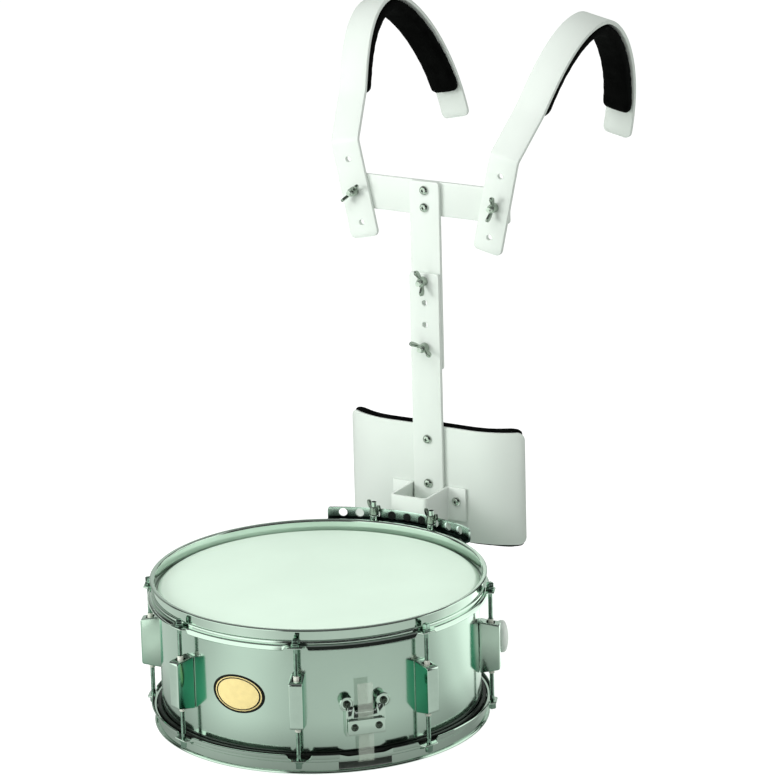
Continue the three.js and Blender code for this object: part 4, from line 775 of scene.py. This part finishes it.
def build_bars():
    bar("lower_bar", BAR_HALF, 152, 443, UP_FRONT,
        [(0, BOLT_TOP - BOLT_PITCH * k, BAR_HOLE) for k in (1, 2)], "lower_upright", "drum")
    upper = bar("upper_bar", BAR_HALF, 329, 549, STRAP_Y, [], "upper_upright", "harness")
    slot_r = 3.7
    arc = [t * pi / 12 for t in range(13)]
    slot = [(-slot_r, 300), (slot_r, 300)]
    slot += [(slot_r * cos(t), BOLT_TOP + slot_r * sin(t)) for t in arc]
    boolean(upper, [loft([[(x, y, z) for x, z in slot] for y in (STRAP_Y - 3, STRAP_Y + 8)])], sharp=40)
    bar("cross_bar", 105, 508.7, 548.7, CROSS_Y, [], "crossbar", "harness")
    front = (0, -1, 0)
    for k, z in enumerate((193, 246)):
        dome_bolt(f"lower_bolt_{k + 1}", along(front, (0, UP_FRONT, z)), "drum")
    for k, z in enumerate((CROSS_Z - 10, CROSS_Z + 10)):
        dome_bolt(f"cross_bolt_{k + 1}", along(front, (0, STRAP_Y, z)), "harness")
    head = spun([(0, 0), (8, 0), (8, 0.8), (6.6, 1.9), (4, 2.5), (0, 2.6)], 40)
    for k, (x, z, y0, y1, body) in enumerate(((0, BOLT_TOP, 239, 264.7, "drum"),
                                              (0, BOLT_TOP - STUD_DROP, 239, 264.7, "drum"),
                                              (-PIVOT_X, CROSS_Z, 244.3, 269.6, "harness"),
                                              (PIVOT_X, CROSS_Z, 244.3, 269.6, "harness"))):
        stud(f"clamp_stud_{k + 1}", along(front, (x, y1, z)), -0.2, y1 - y0, body)
        ride(make(f"clamp_head_{k + 1}", moved(head, along((0, 1, 0), (x, y1, z))), ZINC), body)


def plan_points(offset, divisions=14):
    """The belly plate's plan, offset backwards along its normal."""
    reach, radius = asin(PLATE_REACH / PLATE_CURVE), PLATE_CURVE - offset
    turns = [reach * k / divisions for k in range(divisions + 1)]
    right = [(PLATE_FLAT + radius * sin(t), STRAP_Y + PLATE_CURVE - radius * cos(t)) for t in turns]
    flat = [(x, STRAP_Y + offset) for x in (-PLATE_FLAT, -26, 0, 26)]
    return [(-x, y) for x, y in right[:0:-1]] + flat + right


def build_plate():
    corner, low, high = 9.0, PLATE_LOW, PLATE_HIGH
    outer, inner = plan_points(0), plan_points(3.0)
    walk = [0.0]
    for a, b in zip(outer, outer[1:]):
        walk.append(walk[-1] + dist(a, b))

    def at(points, s):
        k, t = span_at(walk, s)
        return tuple(points[k][i] + (points[k + 1][i] - points[k][i]) * t for i in (0, 1))

    total = walk[-1]
    ends = [corner * (1 - cos(k * pi / 16)) for k in range(9)]
    stops = ends + walk[1:-1] + [total - s for s in ends]
    rings = []
    for s in sorted(set(round(s, 4) for s in stops if 0 <= s <= total)):
        trim = corner_cut(min(s, total - s), corner)
        f, b = at(outer, s), at(inner, s)
        rings.append([(*f, low + trim), (*b, low + trim), (*b, high - trim), (*f, high - trim)])
    plate = make("belly_sheet", loft(rings), SHADED_PLATE_COAT, 40)
    bevel(plate, 0.8, 2, 60, 40)
    ride(plate, "drum", ["belly_plate"])


def swelled(value, power):
    """A sine or cosine raised to a power with its sign kept, for a squarer section."""
    return (abs(value) ** power) * (1 if value >= 0 else -1)


def build_belly_pad():
    """Foam behind the plate: crowned to the wearer, edges rolled, a shallow dent along each rim."""
    plan = plan_points(3.3, 16)
    count, section = len(plan), 36
    thin, thick, middle = 2.2, 11.9, 194
    rings = []
    for i, (x, y) in enumerate(plan):
        a, b = plan[max(i - 1, 0)], plan[min(i + 1, count - 1)]
        d = Vector((b[0] - a[0], b[1] - a[1])).normalized()
        n = Vector((-d.y, d.x))
        end = min(i, count - 1 - i) / 4.0
        grow = sin(min(1.0, end) * pi / 2) ** 0.6 if end < 1 else 1.0
        depth = thin + (thick - thin) * grow
        half = 71.7 - 4.2 * (1 - grow)
        ring = []
        for c, s in around(section):
            w = half * swelled(s, 0.24)
            p = depth / 2 * (1 + swelled(c, 0.5 if c > 0 else 0.18))
            crown = 1.0 if c < 0 else 1.0 - 0.10 * (abs(w) / half) ** 6
            ring.append((x + n.x * p * crown, y + n.y * p * crown, middle + w))
        rings.append(ring)
    pad = puffed(make("belly_foam", loft(rings), FOAM, 80), 0.0, 1.6, 0.0024, 3.0)
    ride(pad, "drum", ["belly_pad"])


def build_bracket():
    """Sheet bent to a hat section, with a bolt through each flange."""
    half = [(47, 257.5), (22.5, 257.5), (22.5, 206.3), (0, 206.3)]
    chain = half[:-1] + [(-x, y) for x, y in half[:-1][::-1]]
    outline = sheet_outline(fillet(chain, [0, 3.0, 4.5, 4.5, 3.0, 0], 5), 3.0, 3)
    obj = make("bracket_hat", prism([(p.x, p.y) for p in outline], 152, 191), PAINT, 40)
    bevel(obj, 0.8, 3, 60, 40)
    ride(obj, "drum", ["bracket"])
    for k, side in enumerate((-1, 1)):
        dome_bolt(f"bracket_bolt_{k + 1}", along((0, -1, 0), (side * 35, 256, 175)), "drum")
    head = spun([(0, 200.4), (1.5, 200.4), (1.5, 201.0), (4.3, 201.0), (4.7, 201.5), (4.7, 205.2),
                 (0, 205.2)], 24)
    for k, step in enumerate((-1, 0, 1)):
        matrix = radial(180 - step * HOLE_STEP, 0, HOLE_Z)
        ride(make(f"rail_bolt_{k + 1}", moved(head, matrix), BLACK))


def build_rail():
    chain = fillet([(203.25, 173.2), (203.25, 158.25), (189.2, 158.25)], 3.2, 6)
    outline = [(p.x, p.y) for p in sheet_outline(chain, 2.5, 3)]
    rail = make("rail_angle", lathe(outline, 72, 153, 54), RAIL, 40)
    hole, middle = rod(5.0, -4, 4, 32), HOLE_COUNT // 2
    tools = [moved(hole, radial(180 - (i - middle) * HOLE_STEP, 203.2, HOLE_Z)) for i in range(HOLE_COUNT)]
    for side in (-1, 1):
        tools.append(put(pushed(rod(3.6, 150, 172, 24), HOOK_CIRCLE), 180 - side * HOOK_STEP))
    turns = [t * pi / 12 for t in range(1, 6)]
    arc = [(-5 + 5 * cos(t), -5 + 5 * sin(t)) for t in turns]
    corner = prism([(3, -5.0), (0.0, -5.0)] + arc + [(-5.0, 0.0), (-5.0, 3), (3, 3)], 198, 208)
    for side in (-1, 1):
        verts = [(z, side * x, RAIL_HIGH + y) for x, y, z in corner[0]]
        tools.append(put((verts, corner[1]), 180 + side * 27))
    boolean(rail, tools, sharp=40)
    ride(rail, "drum", ["rail"])
    boss = spun([(3.6, 159.3), (5.0, 159.3), (5.4, 159.8), (5.4, 167.9), (5.0, 168.5), (3.6, 168.5),
                 (3.6, 159.3)], 32)
    for k, side in enumerate((-1, 1)):
        data = put(pushed(boss, HOOK_CIRCLE), 180 - side * HOOK_STEP)
        ride(make(f"rail_boss_{k + 1}", data, CHROME))


def build_hooks():
    leg_z = SHELL_LOW + 4.2 - 0.3 - 3
    path = fillet([(0, 183.8), (0, 120), (0, leg_z), (-7.2, leg_z)], [0, 0, 5, 0], 8)
    wire = 3.0
    rings = [[(p.x - d.y * (wire * c), wire * s, p.y + d.x * (wire * c)) for c, s in around(20)]
             for p, d, _ in frames_of(path)]
    screw = threaded(3.02, 140, path[0].y, 1.0, 0.25, 20)
    for side, label in ((-1, "left"), (1, "right")):
        azimuth = 180 - side * HOOK_STEP
        shift = spot(azimuth, HOOK_CIRCLE)
        place = Matrix.Translation(shift) @ spin(azimuth - 90)
        body, nut = f"hook_{label}", f"hook_nut_{label}"
        ride(make(f"{body}_bar", moved(loft(rings), place), CHROME, 40), body, [f"hook_rod_{label}"])
        screwed = moved(screw, Matrix.Translation(shift))
        ride(make(f"{body}_thread", screwed, ZINC, 50), body)
        seat = Matrix.Translation(shift + Vector((0, 0, NUT_SEAT))) @ spin(NUT_TURN["hook"])
        ride(shared(NUT, f"{nut}_cast", seat), nut, [nut])


def bezier(points, steps):
    a, b, c, d = (Vector(p) for p in points)
    out = []
    for k in range(1, steps + 1):
        t = k / steps
        out.append(a * (1 - t) ** 3 + b * 3 * t * (1 - t) ** 2 + c * 3 * t * t * (1 - t) + d * t ** 3)
    return out


def strap_path():
    """The strap's front face in its own plane: (back, up) from the pivot, in millimetres."""
    bend = fillet([(0, -55), (0, 59), (39.5, 105.3)], [0, 12, 0], 6)
    rise = bezier([(39.5, 105.3), (51.35, 119.19), (82, 196.8), (152, 196.8)], 26)
    return bend + rise + bezier([(152, 196.8), (197, 196.8), (275, 124.9), (276, 26.2)], 36)


def span_at(walk, s):
    """The span of a chain in which the length s ends, and the share of the span that it covers."""
    k = next(k for k in range(len(walk) - 1) if s <= walk[k + 1] or k == len(walk) - 2)
    return k, (s - walk[k]) / (walk[k + 1] - walk[k])


def corner_cut(near, corner):
    """How far a rounded corner cuts in at a distance from the end."""
    return corner - sqrt(max(0.0, corner ** 2 - (corner - near) ** 2)) if near < corner else 0.0


def resampled(chain, step):
    """A chain with its longer spans divided evenly."""
    out = [chain[0].copy()]
    for a, b in zip(chain, chain[1:]):
        n = max(1, int((b - a).length / step))
        out += [a + (b - a) * (k / n) for k in range(1, n + 1)]
    return out


def walk_of(chain):
    """The length run up to each point of a chain."""
    walk = [0.0]
    for a, b in zip(chain, chain[1:]):
        walk.append(walk[-1] + (b - a).length)
    return walk


def build_straps():
    chain = resampled(strap_path(), 9)
    walk = walk_of(chain)
    corner = 7.0
    extra = [corner * (1 - cos(k * pi / 14)) for k in range(8)]
    stops = sorted(set([round(s, 3) for s in extra + [walk[-1] - s for s in extra]]
                       + [round(w, 3) for w in walk if corner < w < walk[-1] - corner]))

    def at(s):
        k, t = span_at(walk, s)
        return chain[k] + (chain[k + 1] - chain[k]) * t

    # Each corner of the bar's section: side, depth behind the front face and inset
    section = [(-1, 0.8, 0), (-1, 0.25, 0.25), (-1, 0, 0.8), (1, 0, -0.8), (1, 0.25, -0.25), (1, 0.8, 0),
               (1, 4.2, 0), (1, 4.75, -0.25), (1, 5, -0.8), (-1, 5, 0.8), (-1, 4.75, 0.25), (-1, 4.2, 0)]
    rings = []
    for (p, _, n), s in zip(frames_of([at(s) for s in stops]), stops):
        half = STRAP_HALF - corner_cut(min(s, walk[-1] - s), corner)
        rings.append([(side * half + inset, p.x + n.x * deep, p.y + n.y * deep)
                      for side, deep, inset in section])
    strap, pad = loft(rings), pad_shape(chain)
    for side, label in ((-1, "left"), (1, "right")):
        tilt = Matrix.Rotation(radians(side * TILT), 4, "Y")
        place = Matrix.Translation((side * PIVOT_X, STRAP_Y, CROSS_Z)) @ tilt
        lean = Matrix.Identity(4)
        lean[0][1] = side * SPLAY
        body = f"{label}_strap"
        obj = make(f"strap_{label}_bar", moved(strap, place @ lean), PAINT, 40)
        hole = rod(BAR_HOLE, -8, 12, 28)
        holes = [moved(hole, place @ along((0, 1, 0), (0, 0, STRAP_HOLE_PITCH * k))) for k in (-1, 0, 1)]
        boolean(obj, holes, sharp=40)
        ride(obj, body, [f"shoulder_strap_{label}"])
        soft = puffed(make(f"strap_{label}_foam", moved(pad, place @ lean), FOAM, 80), 0.8, 2.2)
        ride(soft, body, [f"shoulder_pad_{label}"])
        hang_nut("strap", label, (side * PIVOT_X, STRAP_Y - 0.3, CROSS_Z))
    for label, z in (("high", BOLT_TOP), ("low", BOLT_TOP - STUD_DROP)):
        hang_nut("height", label, (0, UP_FRONT - 0.3, z))


def pad_shape(chain):
    """Foam under the arch: rounded section, with rolled ends and rounded corners."""
    run = [p for p in chain if p.y > 58.6 or p.x > 100]
    walk = walk_of(run)
    start, end = walk[-1] * 0.143, walk[-1] * 0.922
    ease = [0.0, 0.5, 1.4, 2.8, 4.6, 6.8, 9.5]
    inner = [w for w in walk if start + 12 < w < end - 12]
    marks = [start + e for e in ease] + inner + [end - e for e in ease[::-1]]
    rings = []
    for mark in marks:
        k = max(i for i in range(len(walk) - 1) if walk[i] <= mark)
        t = (mark - walk[k]) / (walk[k + 1] - walk[k])
        p = run[k] + (run[k + 1] - run[k]) * t
        ahead, behind = run[min(k + 2, len(run) - 1)], run[max(k - 1, 0)]
        d = (ahead - behind).normalized()
        n = Vector((d.y, -d.x))
        near = min(mark - start, end - mark)
        grow = sqrt(max(0.0, 1 - (1 - min(1.0, near / 9.5)) ** 2))
        thick = 7.0 + 8.6 * grow
        half = STRAP_HALF + 0.4 - 7.0 * (1 - grow)
        ring = []
        for c, q in around(28):
            x = half * swelled(c, 0.35)
            y = thick / 2 * (1 + swelled(q, 0.6 if q > 0 else 0.2))
            ring.append((x, p.x + n.x * (5.3 + y), p.y + n.y * (5.3 + y)))
        rings.append(ring)
    return loft(rings)


# ---- what stays from the CAD
def dress(names, material, width=0.35):
    for name in names:
        obj = NODES[name]
        obj.data.materials.clear()
        obj.data.materials.append(material)
        modifier(obj, "WELD", merge_threshold=2e-5)
        modifier(obj, "BEVEL", width=width * MM, segments=2, limit_method="ANGLE", angle_limit=radians(25))


build_shell()
build_head("batter_head", SHELL_HIGH, 1)
build_head("snare_side_head", SHELL_LOW, -1)
build_hoop("batter_hoop", SHELL_HIGH, 1, [])
build_hoop("snare_side_hoop", SHELL_LOW, -1, [SNARE_AZ, SNARE_AZ + 180])
build_lugs()
build_rods()
build_badge()
build_butt()
tape("butt_strip", "butt_tape", SNARE_AZ, LUG_BACK + 9.3, 101, 42, "drum")
tape("strainer_strip", "strainer_tape", SNARE_AZ + 180, LUG_BACK + 2.5 + 9 + 0.8, 92, 46, "strainer_carriage")
build_wires()
build_tone()
NUT = wing_nut()
build_bars()
build_plate()
build_belly_pad()
build_bracket()
build_rail()
build_hooks()
build_straps()
bpy.data.objects.remove(NUT)
dress(["strainer_base", "strainer_lever", "strainer_carriage", "strainer_knob", "tone_body"], CHROME)
dress(["tone_arm"], FELT, 0.3)


# ---- stage, light and camera
def stage():
    size = 30.0
    mat, tree, shader = new_material("floor_paper")
    where = add(tree, "TexCoord").outputs["Object"]
    across = add(tree, "VectorMath", {0: where, 1: (0, AXIS_Y * MM, FLOOR_Z)}, operation="DISTANCE")
    clear = mapped(tree, across.outputs["Value"], 0.17, 0.187)
    path = add(tree, "LightPath").outputs
    seen = worked(tree, "MAXIMUM", path["Is Camera Ray"], path["Is Glossy Ray"])
    seen = worked(tree, "MAXIMUM", seen, path["Is Transmission Ray"])
    tone = mixed(tree, seen, (0.56, 0.57, 0.56, 1), (0.26, 0.265, 0.26, 1))
    glow = mapped(tree, worked(tree, "MULTIPLY", seen, clear), 0.0, 1.0, 0.0, 0.9)
    wire_up(tree, shader, {"Base Color": tone, "Roughness": 0.9, "Emission Color": (1, 1, 1, 1),
                           "Emission Strength": glow})
    corners = [(x * size, y * size, FLOOR_Z) for x, y in ((-1, -1), (1, -1), (1, 1), (-1, 1))]
    floor = meshed("floor", corners, [(0, 1, 2, 3)], mat)
    world = bpy.data.worlds.new("studio")
    SCENE.world = world
    world.use_nodes = True
    tree = world.node_tree
    path = add(tree, "LightPath").outputs
    level = mapped(tree, path["Is Camera Ray"], 0.0, 1.0, 0.49, 1.0)
    dim = mapped(tree, path["Is Glossy Ray"], 0.0, 1.0, 1.0, 0.3)
    strength = worked(tree, "MULTIPLY", level, dim)
    wire_up(tree, tree.nodes["Background"], {"Color": (1, 1, 1, 1), "Strength": strength})


def glow_card(name, verts, faces, stops, strength=1.0, near=None):
    """A studio card that only shows in gloss; its brightness runs round the drum's axis, and near dims it
    towards the drum as a painted shadow.
    """
    mat, tree, _ = new_material(name)
    where = add(tree, "TexCoord").outputs["Object"]
    parts = add(tree, "SeparateXYZ", {0: where}).outputs
    turn = worked(tree, "ARCTAN2", parts["X"], worked(tree, "MULTIPLY", parts["Y"], -1))
    ramp = add(tree, "ValToRGB", {"Fac": mapped(tree, turn, -pi, pi)})
    ramp.color_ramp.interpolation = "EASE"
    elements = ramp.color_ramp.elements
    elements[0].position, elements[0].color = 0.0, (*stops[0][1], 1)
    elements[1].position, elements[1].color = (stops[-1][0] + 180) / 360, (*stops[-1][1], 1)
    for azimuth, colour in stops[1:-1]:
        elements.new((azimuth + 180) / 360).color = (*colour, 1)
    bright = strength
    if near:
        far = add(tree, "VectorMath", {0: where}, operation="LENGTH").outputs["Value"]
        bright = mapped(tree, far, *near, strength)
    glow = add(tree, "Emission", {"Color": ramp.outputs["Color"], "Strength": bright})
    tree.links.new(glow.outputs[0], tree.nodes["Material Output"].inputs["Surface"])
    card = meshed(name, verts, faces, mat)
    card.location = (0, AXIS_Y * MM, 0)
    for key in ("camera", "diffuse", "transmission", "volume_scatter", "shadow"):
        setattr(card, f"visible_{key}", False)


def cards():
    """Two grey mats round the drum and a dark band at the horizon, for the contrast in the chrome."""
    count, tint = 96, (0.9, 1.0, 0.915)
    near = [(-180, 0.5), (-130, 0.68), (-85, 0.65), (-52, 0.6), (-18, 0.83), (22, 0.565), (60, 0.595),
            (98, 0.53), (118, 0.85), (138, 1.15), (152, 1.5), (166, 1.5), (176, 0.75)]
    far = [(-180, 0.6), (-84, 0.1), (-70, 1.3), (0, 1.3), (8, 0.03), (98, 0.03), (108, 1.3), (166, 1.3),
           (176, 0.5)]
    band = [(-180, 0.5), (-150, 0.55), (-120, 0.35), (-84, 0.02), (-70, 1.2), (-2, 1.2), (8, 0.02), (98, 0.02),
            (108, 1.15), (154, 1.15), (164, 0.02)]
    for name, low, high, stops, bright, fade in (
            # The reflection mat dims towards the drum: a painted shadow where the drum meets the floor.
            ("reflection_mat", (0.12, 0.0008), (0.78, 0.0008), near, 1.5, (0.185, 0.31, 0.73)),
            ("far_mat", (0.77, 0.0014), (3.4, 0.0014), far, 1.3, None),
            ("horizon_band", (7, -0.05), (7, 5.0), band, 1.2, None)):
        verts = [(r * c, r * s, z) for c, s in around(count) for r, z in (low, high)]
        nexts = [(i, (i + 1) % count) for i in range(count)]
        faces = [(2 * i, 2 * i + 1, 2 * k + 1, 2 * k) for i, k in nexts]
        tones = [(azimuth, tuple(c * value / bright for c in tint)) for azimuth, value in stops]
        glow_card(name, verts, faces, tones, bright, fade)


def lamp(name, at, target, size, power):
    data = bpy.data.lights.new(name, "AREA")
    data.shape, data.size, data.size_y, data.energy = "RECTANGLE", size[0], size[1], power
    obj = linked(name, data)
    obj.location = at
    obj.visible_glossy = False
    obj.rotation_mode = "QUATERNION"
    obj.rotation_quaternion = (Vector(at) - Vector(target)).to_track_quat("Z", "Y")


def camera():
    data = bpy.data.cameras.new("camera")
    cam = linked("camera", data)
    a, e, roll = (radians(x) for x in (29.704, 17.037, -1.498))
    r = Vector((cos(a), sin(a), 0))
    back = Vector((sin(a) * cos(e), -cos(a) * cos(e), sin(e)))
    u = back.cross(r)
    right, up = r * cos(roll) + u * sin(roll), u * cos(roll) - r * sin(roll)
    turn = Matrix((right, up, back)).transposed().to_4x4()
    cam.matrix_world = Matrix.Translation((2.4803, -4.35225, 1.86375)) @ turn
    data.sensor_fit, data.sensor_width, data.lens = "HORIZONTAL", 36.0, 215.5
    data.clip_start, data.clip_end = 0.1, 100
    SCENE.camera = cam


stage()
cards()
lamp("key", (-1.35, -1.75, 0.95), (0, 0.05, 0.4), (1.0, 1.0), 32)
lamp("fill", (3.0, -1.6, 1.5), (0, 0, 0.3), (1.4, 1.8), 6)
lamp("top", (-0.05, -1.0, 1.8), (0, -0.1, 0.2), (1.0, 1.0), 12)
lamp("back", (0.7, 2.7, 1.5), (0, 0.1, 0.4), (1.4, 1.4), 9)
camera()
SCENE.view_settings.view_transform = "Standard"
